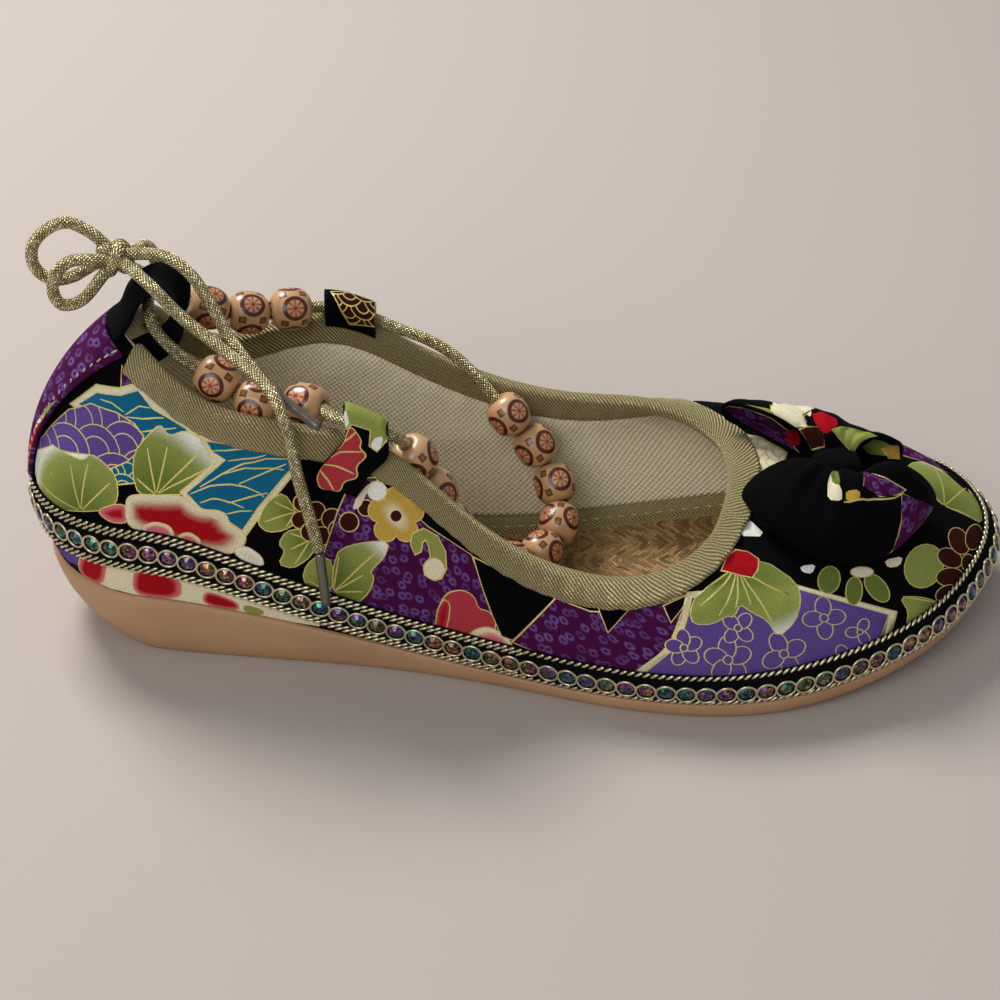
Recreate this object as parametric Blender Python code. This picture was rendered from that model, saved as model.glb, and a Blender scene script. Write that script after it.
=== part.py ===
"""Ankle tie flat, right shoe: every piece is read from one table of ribs round the last.

Sizes are in millimetres here and written to the scene in metres. X runs from
heel to toe, Z is up, the lateral side faces -Y and the sole stands on Z = 0.
"""

import math
from collections import namedtuple

import bmesh
import bpy
import numpy as np

MM = 0.001

COLUMNS = 72            # columns round the last, three to each rib row
WALL = 2.0              # upper: cotton and canvas together
GAP = 0.3               # space between pieces that meet
SOLE_MARGIN = 0.8       # sole edge beyond the feather line
INSOLE_THICK = 2.6
TRIM_THICK = 1.4
BINDING_OUT = 6.6       # binding's reach down the outside and the lining
BINDING_IN = 9.0
BINDING_THICK = 0.9
BINDING_FIRST = 4       # first and last column of the binding, either side of the heel strip
BINDING_LAST = 68
STRIP_THICK = 1.0
STRIP_TOP_HALF = 13.4
STRIP_LOW_HALF = 7.0
TAB_HALF = 8.0
STRAP_THICK = 1.1
CORD_R = 1.5
AGLET_R = 1.9
BEAD_R = 5.5
BEAD_LONG = 9.4
BEAD_BORE = 2.3
BEAD_SIDES = 10

Rib = namedtuple(
    "Rib",
    "name foot_x foot_y foot_z rim_x rim_y rim_z foot_out foot_up rim_out rim_drop rand trim inset sole_z",
)

# One row to a rib, from the heel's back along the lateral side, round the toe and home
# along the medial side. foot is the feather line, rim the collar line. foot_out, foot_up,
# rim_out and rim_drop lead the rib out of both ends. rand is the cloth below the trim, trim
# its width. inset draws the sole's bottom edge in, sole_z is the height of that edge.
RIBS = (
    Rib("heel_back", -123.5, 8.0, 21.0, -101.0, 8.0, 85.0, 8.5, 24.0, 20.5, 16.0, 9.5, 12.5, 19.0, 0.0),
    Rib("heel_back_lat", -118.5, -7.0, 20.5, -97.5, -2.0, 84.0, 8.5, 23.0, 16.0, 16.0, 9.5, 12.5, 13.0, 0.0),
    Rib("heel_lat", -105.0, -18.0, 20.0, -91.0, -9.5, 80.5, 5.5, 21.0, 8.5, 18.0, 9.5, 12.5, 6.0, 0.0),
    Rib("heel_side_lat", -88.0, -21.5, 19.0, -79.0, -16.0, 73.0, 3.0, 20.0, 5.0, 20.0, 8.0, 12.3, 3.5, 0.0),
    Rib("quarter_lat", -60.0, -25.0, 14.0, -58.0, -21.5, 70.0, 2.5, 20.0, 4.0, 22.0, 3.4, 11.6, 2.5, 0.0),
    Rib("loop_lat", -35.0, -29.0, 9.0, -36.0, -23.0, 63.0, 2.0, 18.0, 4.0, 20.0, 0.9, 10.6, 2.0, 0.0),
    Rib("waist_lat", -8.0, -36.0, 5.5, -12.0, -29.0, 43.0, 2.0, 14.0, 5.0, 13.0, 0.5, 10.0, 1.5, 0.0),
    Rib("ball_rear_lat", 20.0, -45.0, 5.0, 12.0, -35.0, 34.0, 2.5, 12.0, 7.0, 9.0, 0.6, 9.4, 1.5, 0.0),
    Rib("ball_lat", 48.0, -48.8, 5.5, 30.0, -35.0, 35.0, 2.5, 13.0, 12.0, 6.0, 0.6, 9.4, 1.5, 0.0),
    Rib("ball_front_lat", 74.0, -44.6, 7.5, 42.0, -26.0, 37.5, 2.0, 14.0, 18.0, 3.0, 0.6, 9.2, 2.0, 1.5),
    Rib("toe_lat", 98.5, -32.4, 11.0, 47.0, -16.0, 39.0, 1.5, 14.0, 27.0, 2.0, 0.6, 9.0, 2.5, 5.5),
    Rib("toe_corner_lat", 114.0, -15.5, 14.0, 50.0, -7.0, 40.5, 1.0, 13.0, 34.0, 2.0, 0.6, 9.0, 3.0, 9.0),
    Rib("toe_tip", 120.8, 2.5, 16.0, 51.0, 2.0, 41.3, 1.0, 13.0, 38.0, 2.0, 0.6, 9.0, 3.0, 10.5),
    Rib("toe_corner_med", 115.8, 20.0, 16.0, 50.0, 11.5, 41.5, 1.0, 14.0, 34.0, 2.0, 0.6, 9.0, 3.0, 10.0),
    Rib("toe_med", 104.0, 31.8, 13.0, 46.2, 19.0, 41.6, 1.5, 14.5, 28.0, 2.0, 0.6, 9.0, 2.5, 7.0),
    Rib("ball_front_med", 79.0, 37.0, 9.0, 40.2, 25.0, 42.4, 2.0, 17.0, 20.0, 3.0, 0.6, 9.2, 2.0, 2.5),
    Rib("ball_med", 48.0, 35.6, 6.5, 28.0, 30.6, 42.6, 3.0, 19.0, 9.0, 10.0, 0.6, 9.4, 1.5, 0.0),
    Rib("ball_rear_med", 20.0, 32.0, 6.0, 10.0, 33.3, 42.8, 3.0, 18.0, 3.0, 14.0, 0.6, 9.4, 1.5, 0.0),
    Rib("waist_med", -8.0, 29.0, 6.0, -10.0, 34.5, 48.0, 3.0, 18.0, 1.0, 16.0, 0.5, 10.0, 1.5, 0.0),
    Rib("loop_med", -35.0, 30.0, 9.0, -31.0, 35.0, 58.5, 3.0, 18.0, 1.0, 18.0, 0.9, 10.6, 2.0, 0.0),
    Rib("quarter_med", -60.0, 33.0, 14.0, -53.0, 35.0, 67.5, 3.0, 18.0, 2.0, 20.0, 3.4, 11.6, 2.5, 0.0),
    Rib("heel_side_med", -88.0, 36.5, 19.0, -76.0, 33.0, 63.0, 4.0, 20.0, 4.0, 18.0, 8.0, 12.3, 3.5, 0.0),
    Rib("heel_med", -105.0, 33.5, 20.0, -89.0, 26.0, 72.0, 5.5, 21.0, 8.5, 18.0, 9.5, 12.5, 6.0, 0.0),
    Rib("heel_back_med", -118.5, 23.0, 20.5, -97.0, 17.0, 83.0, 8.5, 23.0, 16.0, 16.0, 9.5, 12.5, 13.0, 0.0),
)

Loop = namedtuple("Loop", "name low_u top_u half low_drop rise in_drop")

# Cloth loops for the tie cord: place on the last below and at the collar, half width,
# how far the outer leg goes down, how high the loop stands, how far the inner leg goes down.
LOOPS = (
    Loop("side_loop_lateral", 4.42, 4.78, 5.6, 13.5, 9.5, 3.5),
    Loop("side_loop_medial", 19.72, 19.68, 6.8, 12.5, 7.5, 3.5),
)

# Heel tab: steps forward and up from the collar line, along the free arch of the loop.
TAB_ARCH = ((1.4, 3.5), (3.6, 8.2), (7.0, 10.8), (11.0, 10.4), (13.8, 6.8), (13.6, 1.2), (10.6, -4.6))

Stop = namedtuple("Stop", "kind x y z")

# Tie strand: from the knot through the tab, along the lateral side, down on the insole,
# up the medial lining and home to the knot. Rows of kind bead carry a bead.
STRAND = (
    Stop("cord", -96.0, 10.8, 101.0),
    Stop("cord", -93.6, 17.5, 98.8),
    Stop("cord", -92.6, 21.3, 93.0),
    Stop("cord", -93.2, 17.5, 88.2),
    Stop("cord", -93.5, 8.0, 87.6),
    Stop("cord", -91.5, 1.0, 85.4),
    Stop("cord", -85.5, -3.4, 80.4),
    Stop("bead", -76.8, -6.2, 75.2),
    Stop("bead", -67.2, -10.0, 70.6),
    Stop("bead", -55.4, -13.4, 72.0),
    Stop("cord", -49.4, -19.9, 73.2),
    Stop("cord", -46.5, -21.5, 72.8),
    Stop("cord", -40.0, -21.6, 70.6),
    Stop("cord", -35.0, -21.6, 68.2),
    Stop("cord", -33.0, -18.8, 65.2),
    Stop("bead", -29.6, -14.6, 57.0),
    Stop("bead", -24.8, -15.2, 47.2),
    Stop("bead", -20.5, -15.5, 36.5),
    Stop("bead", -14.1, -14.3, 27.0),
    Stop("bead", -6.0, -9.8, 20.4),
    Stop("bead", 2.3, -2.2, 17.8),
    Stop("bead", 7.3, 7.9, 19.3),
    Stop("bead", 6.7, 17.6, 25.1),
    Stop("bead", 1.7, 23.4, 33.5),
    Stop("bead", -5.2, 25.1, 42.4),
    Stop("cord", -12.5, 29.4, 50.5),
    Stop("cord", -19.0, 32.6, 56.0),
    Stop("cord", -26.0, 34.0, 60.3),
    Stop("cord", -33.0, 34.3, 63.4),
    Stop("cord", -39.5, 34.2, 66.8),
    Stop("cord", -46.0, 34.0, 69.3),
    Stop("cord", -52.5, 33.6, 71.0),
    Stop("bead", -60.8, 30.2, 72.6),
    Stop("bead", -71.4, 27.8, 73.2),
    Stop("bead", -81.2, 24.4, 77.0),
    Stop("cord", -88.0, 23.8, 81.4),
    Stop("cord", -94.5, 24.6, 86.0),
    Stop("cord", -100.5, 22.0, 91.5),
    Stop("cord", -103.5, 17.0, 96.0),
    Stop("cord", -101.9, 11.5, 99.4),
)

KNOT_AT = (-100.0, 7.6, 101.2)
KNOT_HALF = (4.7, 3.9, 4.1)

LOOP_UPPER = (
    (-103.0, 9.0, 105.0), (-106.4, 9.6, 107.8), (-111.0, 9.6, 109.9), (-116.2, 9.1, 108.0),
    (-119.5, 8.3, 103.8), (-119.3, 7.6, 99.0), (-115.8, 7.2, 95.9), (-110.9, 7.2, 96.4), (-105.0, 7.6, 99.6),
)
LOOP_LOWER = (
    (-103.7, 4.1, 102.7), (-109.6, 1.8, 103.8), (-113.4, 1.4, 100.6), (-114.6, 1.4, 96.0),
    (-113.0, 1.6, 92.2), (-108.6, 2.2, 92.6), (-103.0, 5.0, 97.9),
)
TAIL_LONG = (
    (-97.1, 3.8, 101.5), (-90.8, -2.6, 99.2), (-84.0, -5.2, 92.2), (-76.0, -9.2, 87.0), (-69.0, -14.2, 83.4),
    (-63.0, -20.4, 80.8), (-59.4, -25.6, 74.2), (-57.2, -28.9, 62.0), (-54.2, -31.0, 48.0), (-53.0, -32.2, 42.4),
)
AGLET_LONG = ((-52.9, -32.3, 41.9), (-52.0, -33.0, 26.5))
TAIL_SHORT = (
    (-95.4, 6.7, 102.7), (-87.6, 4.2, 103.2), (-82.0, 1.2, 100.4), (-77.6, -2.0, 94.6), (-73.0, -6.4, 87.0),
    (-67.2, -12.0, 81.2), (-64.4, -15.2, 79.0),
)
AGLET_SHORT = ((-64.0, -15.6, 78.7), (-51.6, -25.6, 73.6))

# Bow on the vamp: outer edge of each wing in plan, and how far its fold stands off the cloth.
Wing = namedtuple("Wing", "x y stand")
BOW_AT = (76.0, -4.5)
KNOT_WING_HALF = 5.0
BOW_KNOT_HALF = (6.6, 5.6, 4.6)
BOW_REACH = 6.6
WING_LATERAL = (
    Wing(51.5, -14.5, 3.0), Wing(58.0, -26.0, 3.0), Wing(69.5, -31.5, 3.0), Wing(84.0, -28.5, 3.0), Wing(101.0, -9.0, 3.4),
)
WING_MEDIAL = (
    Wing(49.5, 16.0, 5.5), Wing(57.0, 18.5, 4.5), Wing(70.0, 18.5, 4.0), Wing(83.0, 15.5, 3.0), Wing(96.0, 8.5, 2.6),
)
WING_PUFF = {"bow_wing_lateral": 9.0, "bow_wing_medial": 5.0}

COLOURS = {
    "outsole": (0.35, 0.21, 0.12), "insole": (0.42, 0.28, 0.13), "upper": (0.16, 0.06, 0.16),
    "collar_binding": (0.36, 0.28, 0.12), "braid_trim": (0.30, 0.27, 0.16), "heel_strip": (0.09, 0.02, 0.12),
    "heel_tab": (0.01, 0.01, 0.012), "side_loop_lateral": (0.34, 0.10, 0.10), "side_loop_medial": (0.10, 0.05, 0.03),
    "bow": (0.02, 0.015, 0.03), "cord": (0.46, 0.39, 0.12), "bead": (0.58, 0.32, 0.15), "aglet": (0.08, 0.08, 0.085),
}


def periodic(values):
    """Second derivatives of the closed cubic through evenly spaced values."""
    y = np.asarray(values, float)
    n = len(y)
    a = np.zeros((n, n))
    for i in range(n):
        a[i, i] = 4.0
        a[i, (i + 1) % n] = 1.0
        a[i, (i - 1) % n] = 1.0
    return np.linalg.solve(a, 6.0 * (np.roll(y, -1, 0) - 2.0 * y + np.roll(y, 1, 0)))


TABLE = np.array([row[1:] for row in RIBS])
BEND = periodic(TABLE)


def row_at(u):
    """The rib table at any place u, in rows, with its slope along the rows."""
    n = len(TABLE)
    i = int(math.floor(u)) % n
    j = (i + 1) % n
    t = u - math.floor(u)
    s = 1.0 - t
    value = s * TABLE[i] + t * TABLE[j] + ((s**3 - s) * BEND[i] + (t**3 - t) * BEND[j]) / 6.0
    slope = TABLE[j] - TABLE[i] + ((1.0 - 3.0 * s * s) * BEND[i] + (3.0 * t * t - 1.0) * BEND[j]) / 6.0
    return value, slope


def outward(slope):
    """Level direction out of the last at the feather line."""
    n = np.array([slope[1], -slope[0], 0.0])
    return n / np.linalg.norm(n)


STEPS = np.linspace(0.0, 1.0, 65)
RIB_CACHE = {}


def rib(u):
    """Points and running length of the rib at u, from feather line to collar."""
    key = round(u, 6)
    if key not in RIB_CACHE:
        v, slope = row_at(u)
        n = outward(slope)
        up = np.array([0.0, 0.0, 1.0])
        foot = v[0:3] + up * GAP
        rim = v[3:6]
        first = foot + n * v[6] + up * v[7]
        second = rim + n * v[8] - up * v[9]
        t = STEPS[:, None]
        p = (1 - t) ** 3 * foot + 3 * (1 - t) ** 2 * t * first + 3 * (1 - t) * t * t * second + t**3 * rim
        length = np.concatenate([[0.0], np.cumsum(np.linalg.norm(np.diff(p, axis=0), axis=1))])
        RIB_CACHE[key] = (p, length)
    return RIB_CACHE[key]


def rib_long(u):
    return rib(u)[1][-1]


def on_last(u, along):
    """Point on the upper's outside, a length up the rib; runs straight on past both ends."""
    p, length = rib(u)
    if along > length[-1]:
        return p[-1] + (p[-1] - p[-2]) / np.linalg.norm(p[-1] - p[-2]) * (along - length[-1])
    if along < 0.0:
        return p[0] + (p[1] - p[0]) / np.linalg.norm(p[1] - p[0]) * along
    return np.array([np.interp(along, length, p[:, k]) for k in range(3)])


def square_to(u, along):
    """Direction out of the upper's outside at a place on it."""
    share = along / rib_long(u)
    du = on_last(u + 0.03, share * rib_long(u + 0.03)) - on_last(u - 0.03, share * rib_long(u - 0.03))
    dv = on_last(u, along + 0.4) - on_last(u, along - 0.4)
    n = np.cross(du, dv)
    return n / np.linalg.norm(n)


def off_last(u, along, out):
    return on_last(u, along) + square_to(u, along) * out


def beside(u, along, across):
    """Place u moved sideways by a length in millimetres."""
    share = along / rib_long(u)
    step = np.linalg.norm(on_last(u + 0.03, share * rib_long(u + 0.03)) - on_last(u - 0.03, share * rib_long(u - 0.03)))
    return u + across * 0.06 / step


def trim_edges(u):
    """Lower and upper edge of the trim, as lengths up the rib."""
    v = row_at(u)[0]
    return v[10], v[10] + v[11]


def column_u(k):
    return k * len(RIBS) / COLUMNS


def material(name, colour):
    m = bpy.data.materials.get(name)
    if m is None:
        m = bpy.data.materials.new(name)
        m.use_nodes = True
        shade = m.node_tree.nodes["Principled BSDF"]
        shade.inputs["Base Color"].default_value = (*colour, 1.0)
        shade.inputs["Roughness"].default_value = 0.7
    return m


def add(name, points, faces, paint):
    """One named object from points in millimetres, its faces all turned outward."""
    mesh = bpy.data.meshes.new(name)
    mesh.from_pydata([tuple(np.asarray(p) * MM) for p in points], [], faces)
    bm = bmesh.new()
    bm.from_mesh(mesh)
    bmesh.ops.triangulate(bm, faces=bm.faces[:])
    bmesh.ops.recalc_face_normals(bm, faces=bm.faces[:])
    bm.to_mesh(mesh)
    bm.free()
    mesh.materials.append(material(name, COLOURS[paint]))
    obj = bpy.data.objects.new(name, mesh)
    bpy.context.scene.collection.objects.link(obj)
    return obj


def swept(sections, round_way):
    """Points and quads of closed sections joined in a row; open rows get end caps."""
    points = [p for s in sections for p in s]
    m = len(sections[0])
    n = len(sections)
    faces = []
    for i in range(n if round_way else n - 1):
        a = i * m
        b = ((i + 1) % n) * m
        for k in range(m):
            j = (k + 1) % m
            faces.append((a + k, a + j, b + j, b + k))
    if not round_way:
        faces.append(tuple(range(m)))
        faces.append(tuple(range((n - 1) * m, n * m))[::-1])
    return points, faces


def sheet(grid, thick):
    """Solid of even thickness round a grid of middle points, as sections across it."""
    g = np.asarray(grid, float)
    along = np.gradient(g, axis=0)
    across = np.gradient(g, axis=1)
    n = np.cross(along, across)
    n /= np.linalg.norm(n, axis=2)[:, :, None]
    sections = []
    for i in range(g.shape[0]):
        top = [g[i, j] + n[i, j] * thick / 2 for j in range(g.shape[1])]
        low = [g[i, j] - n[i, j] * thick / 2 for j in range(g.shape[1])]
        sections.append(top + low[::-1])
    return sections


def smooth(route, step, straight=()):
    """Points along a smooth curve through route points, about a step apart; none inside a straight span."""
    p = [np.asarray(q, float) for q in route]
    p = [2 * p[0] - p[1]] + p + [2 * p[-1] - p[-2]]
    out = []
    for i in range(1, len(p) - 2):
        k = [0.0]
        for a, b in ((p[i - 1], p[i]), (p[i], p[i + 1]), (p[i + 1], p[i + 2])):
            k.append(k[-1] + math.sqrt(np.linalg.norm(b - a)))
        count = 1 if i - 1 in straight else max(1, round(np.linalg.norm(p[i + 1] - p[i]) / step))
        for c in range(count):
            t = k[1] + (k[2] - k[1]) * c / count
            a1 = (k[1] - t) / (k[1] - k[0]) * p[i - 1] + (t - k[0]) / (k[1] - k[0]) * p[i]
            a2 = (k[2] - t) / (k[2] - k[1]) * p[i] + (t - k[1]) / (k[2] - k[1]) * p[i + 1]
            a3 = (k[3] - t) / (k[3] - k[2]) * p[i + 1] + (t - k[2]) / (k[3] - k[2]) * p[i + 2]
            b1 = (k[2] - t) / (k[2] - k[0]) * a1 + (t - k[0]) / (k[2] - k[0]) * a2
            b2 = (k[3] - t) / (k[3] - k[1]) * a2 + (t - k[1]) / (k[3] - k[1]) * a3
            out.append((k[2] - t) / (k[2] - k[1]) * b1 + (t - k[1]) / (k[2] - k[1]) * b2)
    out.append(p[-2])
    return out


def tube(name, points, radius, paint):
    curve = bpy.data.curves.new(name, "CURVE")
    curve.dimensions = "3D"
    curve.bevel_depth = radius * MM
    curve.bevel_resolution = 2
    curve.use_fill_caps = True
    spline = curve.splines.new("POLY")
    spline.points.add(len(points) - 1)
    for target, p in zip(spline.points, points):
        target.co = (*(np.asarray(p) * MM), 1.0)
    curve.materials.append(material(name, COLOURS[paint]))
    obj = bpy.data.objects.new(name, curve)
    bpy.context.scene.collection.objects.link(obj)
    return obj


def outer_rows(u):
    """Lengths up the rib at which the upper's outside has a row of corners."""
    whole = rib_long(u)
    rand, low = trim_edges(u)
    high = whole - BINDING_OUT
    between = [low + (high - low) * k / 5 for k in range(1, 5)]
    return [0.0, rand, low] + between + [high, whole - BINDING_OUT / 2, whole]


def inner_rows(u):
    whole = rib_long(u)
    high = whole - BINDING_IN
    between = [9.0 + (high - 9.0) * k / 3 for k in range(1, 3)]
    return [0.0, 4.0, 9.0] + between + [high, whole - BINDING_IN / 2, whole]


def make_upper():
    sections = []
    for k in range(COLUMNS):
        u = column_u(k)
        outside = [on_last(u, d) for d in outer_rows(u)]
        inside = [off_last(u, d, -WALL) for d in inner_rows(u)]
        for p in inside[:1]:
            p[2] = outside[0][2]
        sections.append(outside + inside[::-1])
    points, faces = swept(sections, True)
    add("upper", points, faces, "upper")


def ladder(ring, cross):
    """Points and faces that fill a ring from lateral to medial, heel to toe."""
    n = len(ring)
    half = n // 2
    points = list(ring)
    rows = []
    for i in range(1, half):
        a = np.asarray(ring[i])
        b = np.asarray(ring[n - i])
        row = [i]
        for k in range(1, cross):
            row.append(len(points))
            points.append(a + (b - a) * k / cross)
        row.append(n - i)
        rows.append(row)
    faces = []
    for k in range(cross):
        faces.append((0, rows[0][k], rows[0][k + 1]))
        faces.append((half, rows[-1][k + 1], rows[-1][k]))
    for a, b in zip(rows, rows[1:]):
        for k in range(cross):
            faces.append((a[k], b[k], b[k + 1], a[k + 1]))
    return points, faces


def stacked(name, rings, paint):
    """Solid with side rings from top to bottom and both ends filled."""
    n = len(rings[0])
    points = [p for ring in rings for p in ring]
    faces = []
    for i in range(len(rings) - 1):
        for k in range(n):
            j = (k + 1) % n
            faces.append((i * n + k, i * n + j, (i + 1) * n + j, (i + 1) * n + k))
    for base, ring in ((0, rings[0]), ((len(rings) - 1) * n, rings[-1])):
        filled, more = ladder(ring, 2)
        extra = len(points)
        points += filled[n:]
        for face in more:
            faces.append(tuple(base + c if c < n else extra + c - n for c in face))
    add(name, points, faces, paint)


def make_outsole():
    rings = [[], [], [], []]
    for k in range(COLUMNS):
        v, slope = row_at(column_u(k))
        n = outward(slope)
        inset = v[12]
        low = max(v[13], 0.0)
        deep = v[2] - low
        for ring, draw, drop in zip(rings, (0.0, 0.1, 0.45, 1.0), (0.0, 0.4, 0.78, 1.0)):
            p = v[0:3] + n * (SOLE_MARGIN - (inset + SOLE_MARGIN) * draw)
            p[2] = v[2] - deep * drop
            ring.append(p)
    stacked("outsole", rings, "outsole")


def make_insole():
    rings = [[], []]
    for k in range(COLUMNS):
        v, slope = row_at(column_u(k))
        p = v[0:3] - outward(slope) * (WALL + 0.7)
        rings[0].append(p + np.array([0.0, 0.0, GAP + INSOLE_THICK]))
        rings[1].append(p + np.array([0.0, 0.0, GAP]))
    stacked("insole", rings, "insole")


def make_trim():
    sections = []
    for k in range(COLUMNS):
        u = column_u(k)
        rows = trim_edges(u)
        low = [off_last(u, d, GAP) for d in rows]
        top = [off_last(u, d, GAP + TRIM_THICK) for d in rows]
        sections.append(top + low[::-1])
    points, faces = swept(sections, True)
    add("braid_trim", points, faces, "braid_trim")


def make_binding():
    sections = []
    for k in range(BINDING_FIRST, BINDING_LAST + 1):
        u = column_u(k)
        whole = rib_long(u)
        legs = (whole - BINDING_OUT, whole - BINDING_OUT / 2)
        lining = (whole - BINDING_IN / 2, whole - BINDING_IN)
        rim = on_last(u, whole)
        n = square_to(u, whole - 0.5)
        up = rim - on_last(u, whole - 1.0)
        near = GAP
        far = GAP + BINDING_THICK
        shell = [off_last(u, d, far) for d in legs]
        shell.append(rim + n * far + up * 0.2)
        shell.append(rim - n * WALL / 2 + up * far)
        shell.append(rim - n * (WALL + far) + up * 0.2)
        shell += [off_last(u, d, -WALL - far) for d in lining]
        core = [off_last(u, d, near) for d in legs]
        core.append(rim + n * near + up * near)
        core.append(rim - n * (WALL + near) + up * near)
        core += [off_last(u, d, -WALL - near) for d in lining]
        sections.append(shell + core[::-1])
    points, faces = swept(sections, False)
    add("collar_binding", points, faces, "collar_binding")


def make_strip():
    grid = []
    for i in range(9):
        row = []
        for j in range(7):
            side = j / 3 - 1.0
            low = trim_edges(0.0)[1] + GAP
            along = low + (rib_long(0.0) - 3.2 - low) * i / 8
            half = STRIP_LOW_HALF + (STRIP_TOP_HALF - STRIP_LOW_HALF) * (i / 8) ** 1.4
            u = beside(0.0, along, side * half)
            share = along * rib_long(u) / rib_long(0.0)
            row.append(off_last(u, share, 0.6 + STRIP_THICK / 2))
        grid.append(row)
    points, faces = swept(sheet(grid, STRIP_THICK), False)
    add("heel_strip", points, faces, "heel_strip")


def make_tab():
    columns = []
    for j in range(5):
        u = beside(0.0, rib_long(0.0), (j / 2 - 1.0) * TAB_HALF)
        whole = rib_long(u)
        rim = on_last(u, whole)
        path = [off_last(u, whole - 2.4, 1.1), off_last(u, whole + 0.2, 1.1)]
        path += [rim + np.array([a, 0.0, b]) for a, b in TAB_ARCH]
        path.append(off_last(u, whole - 13.0, -WALL - 3.8))
        path.append(off_last(u, whole - 16.0, -WALL - 1.6))
        columns.append(smooth(path, 2.6)[::1])
    count = min(len(c) for c in columns)
    even = []
    for c in columns:
        line = np.array(c)
        run = np.concatenate([[0.0], np.cumsum(np.linalg.norm(np.diff(line, axis=0), axis=1))])
        at = np.linspace(0.0, run[-1], count)
        even.append(np.stack([np.interp(at, run, line[:, k]) for k in range(3)], axis=1))
    points, faces = swept(sheet(np.swapaxes(np.array(even), 0, 1), STRAP_THICK), False)
    add("heel_tab", points, faces, "heel_tab")


def make_loop(spec):
    clear = GAP + BINDING_THICK + 0.35 + STRAP_THICK / 2
    columns = []
    for j in range(3):
        side = (j - 1.0) * spec.half
        low_u = beside(spec.low_u, rib_long(spec.low_u) - spec.low_drop, side)
        top_u = beside(spec.top_u, rib_long(spec.top_u), side)
        mid_u = low_u + (top_u - low_u) * 0.35
        whole = rib_long(top_u)
        rim = on_last(top_u, whole)
        n = square_to(top_u, whole - 0.5)
        up = np.array([0.0, 0.0, 1.0])
        path = [
            off_last(low_u, rib_long(low_u) - spec.low_drop, 1.0),
            off_last(mid_u, rib_long(mid_u) - BINDING_OUT - 0.3, clear + 0.1),
            off_last((mid_u + top_u) / 2, rib_long((mid_u + top_u) / 2) - 3.0, clear + 0.4),
            rim + n * (clear + 0.3) + up * 1.5,
            rim + n * 1.6 + up * (spec.rise - 1.4),
            rim - n * WALL / 2 + up * spec.rise,
            rim - n * (WALL + 1.6) + up * (spec.rise - 1.4),
            rim - n * (WALL + clear + 0.3) + up * 1.5,
            off_last(top_u, whole - spec.in_drop, -WALL - clear - 0.2),
        ]
        columns.append(path)
    points, faces = swept(sheet(np.swapaxes(np.array(columns), 0, 1), STRAP_THICK), False)
    add(spec.name, points, faces, spec.name)


def vamp(x, y):
    """Place on the upper's outside straight below a point in plan, by closing in on it."""
    best = None
    for u in np.arange(7.5, 17.0, 0.5):
        for share in np.arange(0.2, 1.01, 0.1):
            p = on_last(u, share * rib_long(u))
            d = (p[0] - x) ** 2 + (p[1] - y) ** 2
            if best is None or d < best[0]:
                best = (d, u, share)
    u, share = best[1], best[2]
    for _ in range(12):
        p = on_last(u, share * rib_long(u))
        a = (on_last(u + 0.01, share * rib_long(u + 0.01)) - p)[:2] / 0.01
        b = (on_last(u, (share + 0.005) * rib_long(u)) - p)[:2] / 0.005
        move = np.linalg.solve(np.stack([a, b], axis=1), np.array([x, y]) - p[:2])
        u += float(np.clip(move[0], -0.4, 0.4))
        share = float(np.clip(share + np.clip(move[1], -0.1, 0.1), 0.05, 1.05))
    return on_last(u, share * rib_long(u))


def make_wing(name, table, way):
    grid = []
    edge = np.array(table)
    spots = np.linspace(-1.0, 1.0, len(edge))
    for s in np.linspace(-1.0, 1.0, 9):
        line = []
        foot = np.array([BOW_AT[0] + s * KNOT_WING_HALF, BOW_AT[1] + way * BOW_REACH])
        tip = np.array([np.interp(s, spots, edge[:, 0]), np.interp(s, spots, edge[:, 1])])
        stand = float(np.interp(s, spots, edge[:, 2]))
        for r, side in ((0.0, -1), (0.35, -1), (0.7, -1), (0.94, -1), (1.0, 0), (0.94, 1), (0.7, 1), (0.4, 1), (0.16, 1), (0.0, 1)):
            x, y = foot + (tip - foot) * r
            base = vamp(x, y)[2]
            low = 2.3 + 1.2 * r * max(0.0, stand - 3.0)
            puff = 2.6 + WING_PUFF[name] * math.sin(math.pi * r**0.65) ** 0.8 + 1.4 * r
            pleat = 0.7 * math.sin(2.5 * math.pi * s) * (1 - r) * 4 * r
            high = low + puff + pleat
            line.append(np.array([x, y, base + (low if side < 0 else high if side > 0 else (low + high) / 2)]))
        grid.append(line)
    points, faces = swept(sheet(np.swapaxes(np.array(grid), 0, 1), STRAP_THICK), False)
    add(name, points, faces, "bow")


def lump(name, centre, half, paint, around=12, rings=5):
    """Closed soft lump: a superellipsoid with a top and a bottom point."""
    points = [np.array(centre) + np.array([0.0, 0.0, half[2]])]
    for i in range(1, rings + 1):
        lift = math.cos(math.pi * i / (rings + 1))
        wide = math.sin(math.pi * i / (rings + 1)) ** 0.7
        for k in range(around):
            c = math.cos(2 * math.pi * k / around)
            s = math.sin(2 * math.pi * k / around)
            points.append(np.array(centre) + np.array([half[0] * wide * c, half[1] * wide * s, half[2] * lift]))
    points.append(np.array(centre) - np.array([0.0, 0.0, half[2]]))
    faces = []
    for k in range(around):
        j = (k + 1) % around
        faces.append((0, 1 + k, 1 + j))
        for i in range(rings - 1):
            a = 1 + i * around
            faces.append((a + k, a + around + k, a + around + j, a + j))
        last = 1 + (rings - 1) * around
        faces.append((len(points) - 1, last + j, last + k))
    add(name, points, faces, paint)


def make_bow():
    make_wing("bow_wing_lateral", WING_LATERAL, -1.0)
    make_wing("bow_wing_medial", WING_MEDIAL, 1.0)
    base = vamp(*BOW_AT)[2]
    lump("bow_knot", (BOW_AT[0], BOW_AT[1], base + 0.6 + BOW_KNOT_HALF[2]), BOW_KNOT_HALF, "bow")


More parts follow.
